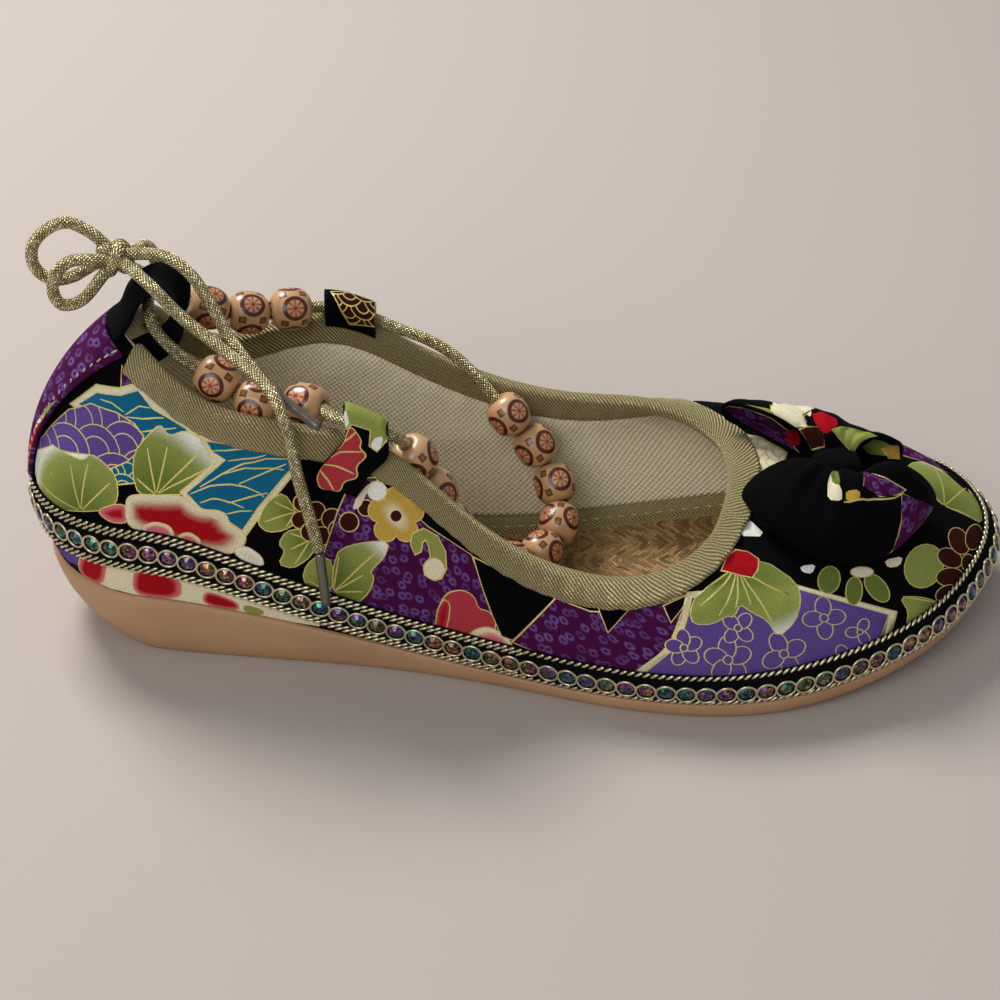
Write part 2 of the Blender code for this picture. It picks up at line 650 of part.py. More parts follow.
def strand_axes():
    """Direction of the strand at each stop, from its neighbours."""
    at = [np.array(s[1:]) for s in STRAND]
    axes = []
    for i in range(len(at)):
        a = at[max(i - 1, 0)]
        b = at[min(i + 1, len(at) - 1)]
        axes.append((b - a) / np.linalg.norm(b - a))
    return at, axes


def strand_route():
    """Points of the strand, and the spans that run straight through a bead."""
    at, axes = strand_axes()
    route = []
    straight = []
    for stop, p, axis in zip(STRAND, at, axes):
        if stop.kind == "bead":
            straight.append(len(route))
            route.append(p - axis * BEAD_LONG * 0.48)
            route.append(p + axis * BEAD_LONG * 0.48)
        else:
            route.append(p)
    return route, straight


def make_beads():
    at, axes = strand_axes()
    number = 0
    profile = ((-0.5, BEAD_BORE), (-0.5, 3.3), (-0.2, BEAD_R), (0.2, BEAD_R), (0.5, 3.3), (0.5, BEAD_BORE))
    for stop, p, axis in zip(STRAND, at, axes):
        if stop.kind != "bead":
            continue
        number += 1
        side = np.cross(axis, np.array([0.3, 0.2, 1.0]))
        side /= np.linalg.norm(side)
        other = np.cross(axis, side)
        sections = []
        for k in range(BEAD_SIDES):
            a = 2 * math.pi * k / BEAD_SIDES
            ray = side * math.cos(a) + other * math.sin(a)
            sections.append([p + axis * BEAD_LONG * h + ray * r for h, r in profile])
        points, faces = swept(sections, True)
        add("bead_%02d" % number, points, faces, "bead")


def make_cords():
    route, straight = strand_route()
    tube("tie_strand", smooth(route, 4.2, straight), CORD_R, "cord")
    lump("cord_knot", KNOT_AT, KNOT_HALF, "cord", 10, 4)
    tube("cord_loop_upper", smooth(LOOP_UPPER, 3.5), CORD_R, "cord")
    tube("cord_loop_lower", smooth(LOOP_LOWER, 3.5), CORD_R, "cord")
    tube("cord_tail_long", smooth(TAIL_LONG, 5.0), CORD_R, "cord")
    tube("cord_tail_short", smooth(TAIL_SHORT, 5.0), CORD_R, "cord")
    tube("aglet_long", [np.array(p) for p in AGLET_LONG], AGLET_R, "aglet")
    tube("aglet_short", [np.array(p) for p in AGLET_SHORT], AGLET_R, "aglet")


def main():
    for obj in list(bpy.data.objects):
        bpy.data.objects.remove(obj, do_unlink=True)
    make_outsole()
    make_insole()
    make_upper()
    make_binding()
    make_trim()
    make_strip()
    make_tab()
    for spec in LOOPS:
        make_loop(spec)
    make_bow()
    make_beads()
    make_cords()


main()
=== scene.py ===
"""Ankle tie flat: cloth, braid, beads, cord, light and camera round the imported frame.

Lengths in the tables are millimetres. X runs from heel to toe, Z is up and the
lateral side faces -Y, as in the frame.
"""

import math
from collections import namedtuple

import bmesh
import bpy
import numpy as np
from bpy.props import FloatProperty, FloatVectorProperty, PointerProperty
from mathutils import Matrix
from mathutils.geometry import delaunay_2d_cdt


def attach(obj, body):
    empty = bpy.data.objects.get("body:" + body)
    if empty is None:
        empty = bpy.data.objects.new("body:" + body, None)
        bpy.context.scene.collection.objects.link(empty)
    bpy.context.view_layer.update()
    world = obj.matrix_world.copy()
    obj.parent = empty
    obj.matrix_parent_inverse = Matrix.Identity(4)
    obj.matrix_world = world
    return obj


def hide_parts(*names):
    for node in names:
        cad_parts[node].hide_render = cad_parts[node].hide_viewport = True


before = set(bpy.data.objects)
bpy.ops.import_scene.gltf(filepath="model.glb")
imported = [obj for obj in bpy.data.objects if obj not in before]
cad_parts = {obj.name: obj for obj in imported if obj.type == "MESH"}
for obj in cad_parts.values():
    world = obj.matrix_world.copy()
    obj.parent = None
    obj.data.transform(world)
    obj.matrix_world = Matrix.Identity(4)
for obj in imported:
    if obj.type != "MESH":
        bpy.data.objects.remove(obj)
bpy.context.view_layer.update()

bl_info = {
    "name": "Ankle Tie Flat",
    "version": (1, 0, 0),
    "blender": (4, 5, 0),
    "location": "3D View > Sidebar > Shoe",
    "description": "Dresses the packed ankle tie flat and sets its light and camera",
    "category": "Object",
}

MM = 0.001
BODY = "root"
SEED = 7

WALL = 2.0              # upper: cotton and canvas together
GAP = 0.3               # space between pieces that meet
SOLE_MARGIN = 0.8
INSOLE_THICK = 2.6
INSOLE_CLEAR = 0.7
STITCH_INSET = 5.6
INSOLE_STITCHES = 149
INSOLE_THREAD = 0.5
BINDING_OUT = 6.6
BINDING_IN = 6.8
BINDING_THICK = 0.9
BINDING_ENDS = (4 / 3, 68 / 3)
BINDING_STEPS = 640
BINDING_WAVES = (5.3, 8.9)
REAR_ROWS = (6.2, 17.8)  # rib rows between which the braid has single edge cords
EDGE_CORDS = ((0.05, False), (0.94, False), (0.15, True), (0.84, True))
RING_OUT = 1.3
SEQUIN_OUT = 1.2
SEQUIN_THICK = 0.7
GRAIN_THICK = 0.8
GRAIN_LEAN = 0.6
STRIP_THICK = 1.0
STRIP_TOP_HALF = 13.4
STRIP_LOW_HALF = 7.0
STRIP_BELOW = 3.2       # from the rim down to the strip's upper end
STRIP_OFF = 0.6
STRIP_SEAMS = (0.07, 0.93)
SEAM_STITCHES = 20
HEEL_THREAD = 0.55
TAB_HALF = 8.0
STRAP_THICK = 1.1
LOOP_EASE = 0.35
BEAD_R = 5.5
BEAD_LONG = 9.4
BEAD_BORE = 1.75
BEAD_FULL = 0.85
BEAD_POWER = 2.5        # roundness of a bead's outline, 2 for an ellipse
AGLET_R = 1.2
CORD_CELLS = 10.0
CORD_STEP = 0.9

Rib = namedtuple(
    "Rib",
    "name foot_x foot_y foot_z rim_x rim_y rim_z foot_out foot_up rim_out rim_drop rand trim inset sole_z",
)

# One row to a rib, from the heel's back along the lateral side, round the toe and home along
# the medial side: feather line, collar line, how the rib leaves both, rand, trim, sole edge.
RIBS = (
    Rib("heel_back", -123.5, 8.0, 21.0, -101.0, 8.0, 85.0, 8.5, 24.0, 20.5, 16.0, 9.5, 12.5, 19.0, 0.0),
    Rib("heel_back_lat", -118.5, -7.0, 20.5, -97.5, -2.0, 84.0, 8.5, 23.0, 16.0, 16.0, 9.5, 12.5, 13.0, 0.0),
    Rib("heel_lat", -105.0, -18.0, 20.0, -91.0, -9.5, 80.5, 5.5, 21.0, 8.5, 18.0, 9.5, 12.5, 6.0, 0.0),
    Rib("heel_side_lat", -88.0, -21.5, 19.0, -79.0, -16.0, 73.0, 3.0, 20.0, 5.0, 20.0, 8.0, 12.3, 3.5, 0.0),
    Rib("quarter_lat", -60.0, -25.0, 14.0, -58.0, -21.5, 70.0, 2.5, 20.0, 4.0, 22.0, 3.4, 11.6, 2.5, 0.0),
    Rib("loop_lat", -35.0, -29.0, 9.0, -36.0, -23.0, 63.0, 2.0, 18.0, 4.0, 20.0, 0.9, 10.6, 2.0, 0.0),
    Rib("waist_lat", -8.0, -36.0, 5.5, -12.0, -29.0, 43.0, 2.0, 14.0, 5.0, 13.0, 0.5, 10.0, 1.5, 0.0),
    Rib("ball_rear_lat", 20.0, -45.0, 5.0, 12.0, -35.0, 34.0, 2.5, 12.0, 7.0, 9.0, 0.6, 9.4, 1.5, 0.0),
    Rib("ball_lat", 48.0, -48.8, 5.5, 30.0, -35.0, 35.0, 2.5, 13.0, 12.0, 6.0, 0.6, 9.4, 1.5, 0.0),
    Rib("ball_front_lat", 74.0, -44.6, 7.5, 42.0, -26.0, 37.5, 2.0, 14.0, 18.0, 3.0, 0.6, 9.2, 2.0, 1.5),
    Rib("toe_lat", 98.5, -32.4, 11.0, 47.0, -16.0, 39.0, 1.5, 14.0, 27.0, 2.0, 0.6, 9.0, 2.5, 5.5),
    Rib("toe_corner_lat", 114.0, -15.5, 14.0, 50.0, -7.0, 40.5, 1.0, 13.0, 34.0, 2.0, 0.6, 9.0, 3.0, 9.0),
    Rib("toe_tip", 120.8, 2.5, 16.0, 51.0, 2.0, 41.3, 1.0, 13.0, 38.0, 2.0, 0.6, 9.0, 3.0, 10.5),
    Rib("toe_corner_med", 115.8, 20.0, 16.0, 50.0, 11.5, 41.5, 1.0, 14.0, 34.0, 2.0, 0.6, 9.0, 3.0, 10.0),
    Rib("toe_med", 104.0, 31.8, 13.0, 46.2, 19.0, 41.6, 1.5, 14.5, 28.0, 2.0, 0.6, 9.0, 2.5, 7.0),
    Rib("ball_front_med", 79.0, 37.0, 9.0, 40.2, 25.0, 42.4, 2.0, 17.0, 20.0, 3.0, 0.6, 9.2, 2.0, 2.5),
    Rib("ball_med", 48.0, 35.6, 6.5, 28.0, 30.6, 42.6, 3.0, 19.0, 9.0, 10.0, 0.6, 9.4, 1.5, 0.0),
    Rib("ball_rear_med", 20.0, 32.0, 6.0, 10.0, 33.3, 42.8, 3.0, 18.0, 3.0, 14.0, 0.6, 9.4, 1.5, 0.0),
    Rib("waist_med", -8.0, 29.0, 6.0, -10.0, 34.5, 48.0, 3.0, 18.0, 1.0, 16.0, 0.5, 10.0, 1.5, 0.0),
    Rib("loop_med", -35.0, 30.0, 9.0, -31.0, 35.0, 58.5, 3.0, 18.0, 1.0, 18.0, 0.9, 10.6, 2.0, 0.0),
    Rib("quarter_med", -60.0, 33.0, 14.0, -53.0, 35.0, 67.5, 3.0, 18.0, 2.0, 20.0, 3.4, 11.6, 2.5, 0.0),
    Rib("heel_side_med", -88.0, 36.5, 19.0, -76.0, 33.0, 63.0, 4.0, 20.0, 4.0, 18.0, 8.0, 12.3, 3.5, 0.0),
    Rib("heel_med", -105.0, 33.5, 20.0, -89.0, 26.0, 72.0, 5.5, 21.0, 8.5, 18.0, 9.5, 12.5, 6.0, 0.0),
    Rib("heel_back_med", -118.5, 23.0, 20.5, -97.0, 17.0, 83.0, 8.5, 23.0, 16.0, 16.0, 9.5, 12.5, 13.0, 0.0),
)
ROUND = len(RIBS)
SOLE_STEPS = 288
CLOTH_STEPS = 480
UPPER_FLAT = (560.0, 56.0)  # about what the upper's cloth measures laid flat
UPPER_CELLS = (288, 24)

# Sole edge from the top down: share drawn in from the feather line and share of the height gone down.
SOLE_EDGE = (
    (0.16, 0.0), (0.03, 0.02), (0.0, 0.09), (0.03, 0.22), (0.11, 0.42), (0.24, 0.6), (0.42, 0.76),
    (0.64, 0.88), (0.85, 0.96), (1.0, 1.0), (1.25, 1.0),
)
# Ribbon of the braid, round its section: share of its width and distance off the upper.
RIBBON = (
    (0.0, 0.35), (0.02, 0.75), (0.15, 0.95), (0.5, 1.0), (0.85, 0.95), (0.98, 0.75), (1.0, 0.35), (0.98, 0.1),
    (0.5, 0.1), (0.02, 0.1),
)

# Creases of the upper as soft troughs and ridges: ends by rib row and share of the rib.
Crease = namedtuple("Crease", "name start end half depth")
CREASES = (
    Crease("heel_dent_lat", (0.9, 0.66), (2.5, 0.56), 6.0, -0.9),
    Crease("quarter_trough_lat", (3.2, 0.80), (4.3, 0.45), 5.0, -0.9),
    Crease("quarter_ridge_lat", (3.9, 0.84), (5.1, 0.52), 4.0, 0.6),
    Crease("waist_trough_lat", (5.3, 0.76), (6.7, 0.58), 3.6, -0.8),
    Crease("throat_ridge_lat", (7.6, 0.74), (8.8, 0.70), 3.0, 0.5),
    Crease("vamp_trough_lat", (8.9, 0.74), (9.9, 0.52), 5.0, -0.7),
    Crease("toe_dent", (11.2, 0.52), (12.8, 0.56), 6.0, -0.8),
    Crease("vamp_trough_med", (14.1, 0.70), (15.1, 0.52), 5.0, -0.7),
    Crease("waist_trough_med", (17.3, 0.74), (18.5, 0.52), 4.0, -0.7),
    Crease("quarter_trough_med", (19.6, 0.80), (20.8, 0.45), 5.0, -0.9),
    Crease("heel_dent_med", (21.6, 0.56), (23.1, 0.66), 6.0, -0.9),
)
PUCKER_PITCH = 8.5
PUCKER_DEEP = 0.35

Loop = namedtuple("Loop", "name low_u top_u half low_drop rise")
LOOPS = (
    Loop("side_loop_lateral", 4.42, 4.78, 5.6, 13.5, 9.5),
    Loop("side_loop_medial", 19.72, 19.68, 6.8, 12.5, 7.5),
)
# Heel tab: ends by distance up past the rim and out of the upper, the arch by distance ahead and up.
TAB_START = ((-2.4, 1.1), (0.2, 1.1))
TAB_END = ((-13.0, -WALL - 3.8), (-16.0, -WALL - 1.6))
TAB_ARCH = ((1.4, 3.5), (3.6, 8.2), (7.0, 10.8), (11.0, 10.4), (13.8, 6.8), (13.6, 1.2), (10.6, -4.6))

Stop = namedtuple("Stop", "kind x y z")

# Tie strand: knot, tab, lateral side, down on the insole, up the medial lining, knot.
RUNS = (
    ("cord", (
        (-96.0, 10.8, 101.0), (-93.6, 17.5, 98.8), (-92.6, 21.3, 93.0), (-93.2, 17.5, 88.2),
        (-93.5, 8.0, 87.6), (-91.5, 1.0, 85.4), (-85.5, -3.4, 80.4),
    )),
    ("bead", (
        (-76.8, -6.2, 75.2), (-67.2, -10.0, 70.6), (-55.4, -13.4, 72.0),
    )),
    ("cord", (
        (-49.4, -19.9, 73.2), (-46.5, -21.5, 72.8), (-40.0, -21.6, 70.6), (-35.0, -21.6, 68.2),
        (-33.0, -18.8, 65.2),
    )),
    ("bead", (
        (-29.6, -14.6, 57.0), (-24.8, -15.2, 47.2), (-20.5, -15.5, 36.5), (-14.1, -14.3, 27.0),
        (-6.0, -9.8, 20.4), (2.3, -2.2, 17.8), (7.3, 7.9, 19.3), (6.7, 17.6, 25.1), (1.7, 23.4, 33.5),
        (-5.2, 25.1, 42.4),
    )),
    ("cord", (
        (-12.5, 29.4, 50.5), (-19.0, 32.6, 56.0), (-26.0, 34.0, 60.3), (-33.0, 34.3, 63.4),
        (-39.5, 34.2, 66.8), (-46.0, 34.0, 69.3), (-52.5, 33.6, 71.0),
    )),
    ("bead", (
        (-60.8, 30.2, 72.6), (-71.4, 27.8, 73.2), (-81.2, 24.4, 77.0),
    )),
    ("cord", (
        (-88.0, 23.8, 81.4), (-94.5, 24.6, 86.0), (-100.5, 22.0, 91.5), (-103.5, 17.0, 96.0),
        (-101.9, 11.5, 99.4),
    )),
)
STRAND = tuple(Stop(kind, *point) for kind, run in RUNS for point in run)
KNOT_AT = (-100.0, 7.6, 101.2)
KNOT_SPREAD = (1.1, 0.8, 2.7)
LOOP_UPPER = (
    (-101.0, 8.4, 102.6), (-103.0, 9.0, 105.0), (-106.4, 9.6, 107.8), (-111.0, 9.6, 109.9),
    (-116.2, 9.1, 108.0), (-119.5, 8.3, 103.8), (-119.3, 7.6, 99.0), (-115.8, 7.2, 95.9),
    (-110.9, 7.2, 96.4), (-105.0, 7.6, 99.6), (-101.8, 7.6, 100.6),
)
LOOP_LOWER = (
    (-101.4, 5.9, 101.8), (-103.7, 4.1, 102.7), (-109.6, 1.8, 103.8), (-113.4, 1.4, 100.6),
    (-114.6, 1.4, 96.0), (-113.0, 1.6, 92.2), (-108.6, 2.2, 92.6), (-103.0, 5.0, 97.9), (-101.2, 6.2, 99.6),
)
TAIL_LONG = (
    (-99.0, 6.0, 101.6), (-97.1, 3.8, 101.5), (-90.8, -2.6, 99.2), (-84.0, -5.2, 92.2), (-76.0, -9.2, 87.0),
    (-69.0, -14.2, 83.4), (-63.0, -20.4, 80.8), (-59.4, -25.6, 74.2), (-57.2, -28.9, 62.0),
    (-54.2, -31.0, 48.0), (-53.0, -32.2, 42.4),
)
AGLET_LONG = ((-52.9, -32.3, 41.9), (-52.0, -33.0, 26.5))
TAIL_SHORT = (
    (-98.4, 7.2, 101.8), (-95.4, 6.7, 102.7), (-87.6, 4.2, 103.2), (-82.0, 1.2, 100.4), (-77.6, -2.0, 94.6),
    (-73.0, -6.4, 87.0), (-67.2, -12.0, 81.2), (-64.4, -15.2, 79.0),
)
AGLET_SHORT = ((-64.0, -15.6, 78.7), (-51.6, -25.6, 73.6))

Wing = namedtuple("Wing", "x y stand")
BOW_AT = (76.0, -4.5)
KNOT_WING_HALF = 5.0
BOW_KNOT_HALF = (6.6, 5.6, 4.6)
BOW_REACH = 6.6
BOW_KNOT_SQUARE = 0.7   # 1 for a round knot, less for a squarer one
WING_LATERAL = (
    Wing(51.5, -14.5, 3.0), Wing(58.0, -26.0, 3.0), Wing(69.5, -31.5, 3.0), Wing(84.0, -28.5, 3.0),
    Wing(101.0, -9.0, 3.4),
)
WING_MEDIAL = (
    Wing(49.5, 16.0, 5.5), Wing(57.0, 18.5, 4.5), Wing(70.0, 18.5, 4.0), Wing(83.0, 15.5, 3.0),
    Wing(96.0, 8.5, 2.6),
)
WING_PUFF = {"bow_wing_lateral": 9.0, "bow_wing_medial": 5.0}

# Camera of the photo: 1000 x 1000 frame, focal length in pixels, place and aim in millimetres.
FRAME_PX = 1000.0
FOCAL_PX = 2200.0
SENSOR = 36.0
CAMERA_ELEVATION = math.radians(36.0)
CAMERA_TURN = math.radians(2.0)
CAMERA_AWAY = 575.0
CAMERA_AIM = (-8.0, 11.0, 25.0)

# Lamps: place and size in metres, power in watts.
LAMPS = (("key", (-0.5, 0.62, 1.0), 0.42, 14.5), ("front", (-0.6, -1.1, 1.0), 1.0, 9.5))
LAMP_COLOUR = (1.0, 0.965, 0.93)
FILL_COLOUR = (0.84, 0.90, 1.0, 1.0)
FILL_STRENGTH = 0.30
FLOOR_HALF = 3000.0


def linear(code):
    """Linear red, green and blue of an sRGB hex value."""
    parts = [int(code[i:i + 2], 16) / 255 for i in (1, 3, 5)]
    return tuple(c / 12.92 if c <= 0.04045 else ((c + 0.055) / 1.055) ** 2.4 for c in parts)


def length(name, description, size):
    """Length property with its default in millimetres."""
    return FloatProperty(name=name, description=description, default=size * MM, min=0.0, unit="LENGTH",
                         precision=5)


def colour(name, description, code):
    """Colour property with its default as an sRGB hex value."""
    return FloatVectorProperty(
        name=name, description=description, default=linear(code), size=3, min=0.0, max=1.0, subtype="COLOR")


class ShoeSizes(bpy.types.PropertyGroup):
    """Sizes of the shoe's repeats and threads."""
    cord: length("Cord", "Diameter of the tie cord", 3.0)
    ring_pitch: length("Ring pitch", "Spacing of the braid's rings", 4.9)
    ring: length("Ring", "Outside diameter of a braid ring", 5.5)
    ring_wire: length("Ring wire", "Thickness of a braid ring's wire", 0.68)
    sequin: length("Sequin", "Diameter of a cut sequin", 3.9)
    twist_pitch: length("Twist pitch", "Spacing of the grains of the twisted edge cords", 1.9)
    twist: length("Twist", "Length of a grain of the twisted edge cords", 2.5)
    stitch: length("Stitch", "Length of a stitch", 2.0)
    weave: length("Weave", "Spacing of the print cotton's threads, drawn coarse enough to show", 0.55)
    canvas: length("Canvas", "Spacing of the lining canvas's threads", 1.5)
    twill: length("Twill", "Spacing of the binding's ribs", 1.05)
    tie_dye: length("Tie-dye", "Spacing of the fawn-spot rings in the purple cloth", 3.4)


class ShoeColours(bpy.types.PropertyGroup):
    """Base colours of the shoe's materials."""
    sole: colour("Sole rubber", "Tan foamed rubber", "#BC946E")
    lining: colour("Lining", "Unbleached canvas", "#FFF6D8")
    # Twill valley and twill crest are painted shade in the rib valleys and a painted highlight on the rib
    # crests.
    twill_valley_shade: colour("Twill valley", "Dark thread of the metallic twill", "#6A5A34")
    twill_mid: colour("Twill", "Metallic twill thread", "#A89764")
    twill_crest_highlight: colour("Twill crest", "Bright thread of the metallic twill", "#E2D8A8")
    straw_low: colour("Straw shade", "Shaded straw", "#6E5029")
    straw_high: colour("Straw", "Bright straw", "#C09B5F")
    # Cord shade is the dark yarn with painted shade between the braid's cells; cord foil is a painted glint
    # on the brightest cells.
    cord_yarn_and_shade: colour("Cord shade", "Base yarn of the tie cord", "#5E5029")
    cord_foil_glint: colour("Cord foil", "Metal foil of the tie cord", "#FAF3D6")
    bead: colour("Bead wood", "Waxed light wood", "#D9B083")
    bead_ring: colour("Bead ring", "Printed dark ring", "#561810")
    bead_star: colour("Bead star", "Printed red star", "#A8321E")
    black: colour("Black cloth", "Dyed black cotton", "#050506")
    metal: colour("Braid metal", "Pale gold of rings and grains", "#F4ECCB")
    spot: colour("Dye spot", "Violet ring left by tie-dye", "#6C5090")
    floor: colour("Floor", "Pale floor", "#B9AFA7")


def sizes():
    """The scene's shoe sizes."""
    return bpy.context.scene.shoe_sizes


def colours():
    """The scene's shoe colours."""
    return bpy.context.scene.shoe_colours


def periodic(values):
    """Second derivatives of the closed cubic through evenly spaced values."""
    y = np.asarray(values, float)
    n = len(y)
    a = np.eye(n) * 4.0 + np.roll(np.eye(n), 1, 0) + np.roll(np.eye(n), -1, 0)
    return np.linalg.solve(a, 6.0 * (np.roll(y, -1, 0) - 2.0 * y + np.roll(y, 1, 0)))


# Columns of the rib table.
FOOT, RIM = slice(0, 3), slice(3, 6)
FOOT_OUT, FOOT_UP, RIM_OUT, RIM_DROP, RAND, TRIM, INSET, SOLE_Z = range(6, 14)
TABLE = np.array([row[1:] for row in RIBS])
BEND = periodic(TABLE)
UP = np.array([0.0, 0.0, 1.0])
RIB_STEPS = np.linspace(0.0, 1.0, 49)
ROW_STEP = 0.03
UP_STEP = 0.4


def rows_at(u):
    """The rib table at places u, in rows, with its slope along the rows."""
    u = np.asarray(u, float)
    i = np.floor(u).astype(int) % ROUND
    j = (i + 1) % ROUND
    t = (u - np.floor(u))[..., None]
    s = 1.0 - t
    value = s * TABLE[i] + t * TABLE[j] + ((s**3 - s) * BEND[i] + (t**3 - t) * BEND[j]) / 6.0
    slope = TABLE[j] - TABLE[i] + ((1.0 - 3.0 * s * s) * BEND[i] + (3.0 * t * t - 1.0) * BEND[j]) / 6.0
    return value, slope


def outward(slope):
    """Level direction out of the last at the feather line."""
    n = np.stack([slope[..., 1], -slope[..., 0], np.zeros_like(slope[..., 0])], axis=-1)
    return n / np.linalg.norm(n, axis=-1, keepdims=True)


def ribs(u):
    """Points and running lengths of the ribs at u, from feather line to collar."""
    v, slope = rows_at(u)
    n = outward(slope)
    foot = v[:, FOOT] + UP * GAP
    rim = v[:, RIM]
    first = foot + n * v[:, FOOT_OUT, None] + UP * v[:, FOOT_UP, None]
    second = rim + n * v[:, RIM_OUT, None] - UP * v[:, RIM_DROP, None]
    t = RIB_STEPS[None, :, None]
    p = (1 - t) ** 3 * foot[:, None] + 3 * (1 - t) ** 2 * t * first[:, None]
    p = p + 3 * (1 - t) * t * t * second[:, None] + t**3 * rim[:, None]
    run = np.cumsum(np.linalg.norm(np.diff(p, axis=1), axis=2), axis=1)
    return p, np.concatenate([np.zeros((len(run), 1)), run], axis=1)


def rib_long(u):
    """Length of the ribs at u."""
    return ribs(np.atleast_1d(np.asarray(u, float)))[1][:, -1]


def paired(u, along):
    """Places u and lengths up their ribs, as many of the one as of the other."""
    return np.broadcast_arrays(*(np.atleast_1d(np.asarray(v, float)) for v in (u, along)))


def on_last(u, along):
    """Points on the upper's outside, lengths up the ribs; runs straight on past both ends."""
    u, along = paired(u, along)
    p, run = ribs(u)
    k = np.clip((run < along[:, None]).sum(axis=1), 1, run.shape[1] - 1)
    at = np.arange(len(u))
    t = (along - run[at, k - 1]) / (run[at, k] - run[at, k - 1])
    return p[at, k - 1] + t[:, None] * (p[at, k] - p[at, k - 1])


def sideways(u, along):
    """The way from a step before places u to a step past them, level on the cloth."""
    share = along / rib_long(u)
    before, past = (on_last(v, share * rib_long(v)) for v in (u - ROW_STEP, u + ROW_STEP))
    return past - before


def square_to(u, along):
    """Directions out of the upper's outside."""
    u, along = paired(u, along)
    up_rib = on_last(u, along + UP_STEP) - on_last(u, along - UP_STEP)
    n = np.cross(sideways(u, along), up_rib)
    return n / np.linalg.norm(n, axis=1, keepdims=True)


def off_last(u, along, out):
    """Points off the upper's outside by a distance."""
    out = np.asarray(out, float)
    return on_last(u, along) + square_to(u, along) * (out[:, None] if out.ndim else out)


def row_width(u, along):
    """Millimetres of cloth to one rib row, level with a place on the cloth."""
    return np.linalg.norm(sideways(np.atleast_1d(np.asarray(u, float)), along), axis=1) / (2 * ROW_STEP)


def beside(u, along, across):
    """Place u moved sideways by a length."""
    return u + np.asarray(across) / row_width(u, along)


def trim_edges(u):
    """Lower and upper edge of the braid, as lengths up the rib."""
    v = rows_at(u)[0]
    return v[..., RAND], v[..., RAND] + v[..., TRIM]


def running(line):
    """Length run at every point of a line."""
    return np.concatenate([[0.0], np.cumsum(np.linalg.norm(np.diff(line, axis=0), axis=1))])


def cloth_map():
    """Running width round the last at half height, a table for the cloth's threads."""
    u = np.linspace(0.0, ROUND, CLOTH_STEPS + 1)
    p = on_last(u, rib_long(u) * 0.5)
    return u, running(p)


MAP_U, MAP_RUN = cloth_map()


def cloth_uv(u, along):
    """Millimetre coordinates of the cloth's threads."""
    return np.stack([np.interp(u, MAP_U, MAP_RUN), np.asarray(along, float)], axis=-1)


def smooth(route, step):
    """Points along a smooth curve through route points, about a step apart."""
    p = [np.asarray(q, float) for q in route]
    p = [2 * p[0] - p[1]] + p + [2 * p[-1] - p[-2]]
    out = []
    for i in range(1, len(p) - 2):
        k = [0.0]
        for a, b in ((p[i - 1], p[i]), (p[i], p[i + 1]), (p[i + 1], p[i + 2])):
            k.append(k[-1] + math.sqrt(np.linalg.norm(b - a)))
        count = max(1, round(np.linalg.norm(p[i + 1] - p[i]) / step))
        for c in range(count):
            t = k[1] + (k[2] - k[1]) * c / count
            a1 = (k[1] - t) / (k[1] - k[0]) * p[i - 1] + (t - k[0]) / (k[1] - k[0]) * p[i]
            a2 = (k[2] - t) / (k[2] - k[1]) * p[i] + (t - k[1]) / (k[2] - k[1]) * p[i + 1]
            a3 = (k[3] - t) / (k[3] - k[2]) * p[i + 1] + (t - k[2]) / (k[3] - k[2]) * p[i + 2]
            b1 = (k[2] - t) / (k[2] - k[0]) * a1 + (t - k[0]) / (k[2] - k[0]) * a2
            b2 = (k[3] - t) / (k[3] - k[1]) * a2 + (t - k[1]) / (k[3] - k[1]) * a3
            out.append((k[2] - t) / (k[2] - k[1]) * b1 + (t - k[1]) / (k[2] - k[1]) * b2)
    out.append(p[-2])
    return np.array(out)


def even(line, count):
    """A line's points spaced evenly along it."""
    line = np.asarray(line, float)
    run = running(line)
    at = np.linspace(0.0, run[-1], count)
    return np.stack([np.interp(at, run, line[:, k]) for k in range(line.shape[1])], axis=1)


def soft_step(low, high, x):
    """Smooth rise from 0 at low to 1 at high."""
    t = np.clip((np.asarray(x, float) - low) / (high - low), 0.0, 1.0)
    return t * t * (3.0 - 2.0 * t)


def blend(a, b, t):
    """Mix of two colours, row by row."""
    t = np.asarray(t, float)[..., None]
    return np.asarray(a) * (1.0 - t) + np.asarray(b) * t


def grid_faces(n, m, wrap_n=False, wrap_m=False, base=0):
    """Quads of a grid of n rows and m columns."""
    faces = []
    for i in range(n if wrap_n else n - 1):
        for k in range(m if wrap_m else m - 1):
            a = i * m + k
            b = i * m + (k + 1) % m
            c = (i + 1) % n * m + (k + 1) % m
            d = (i + 1) % n * m + k
            faces.append((base + a, base + b, base + c, base + d))
    return faces


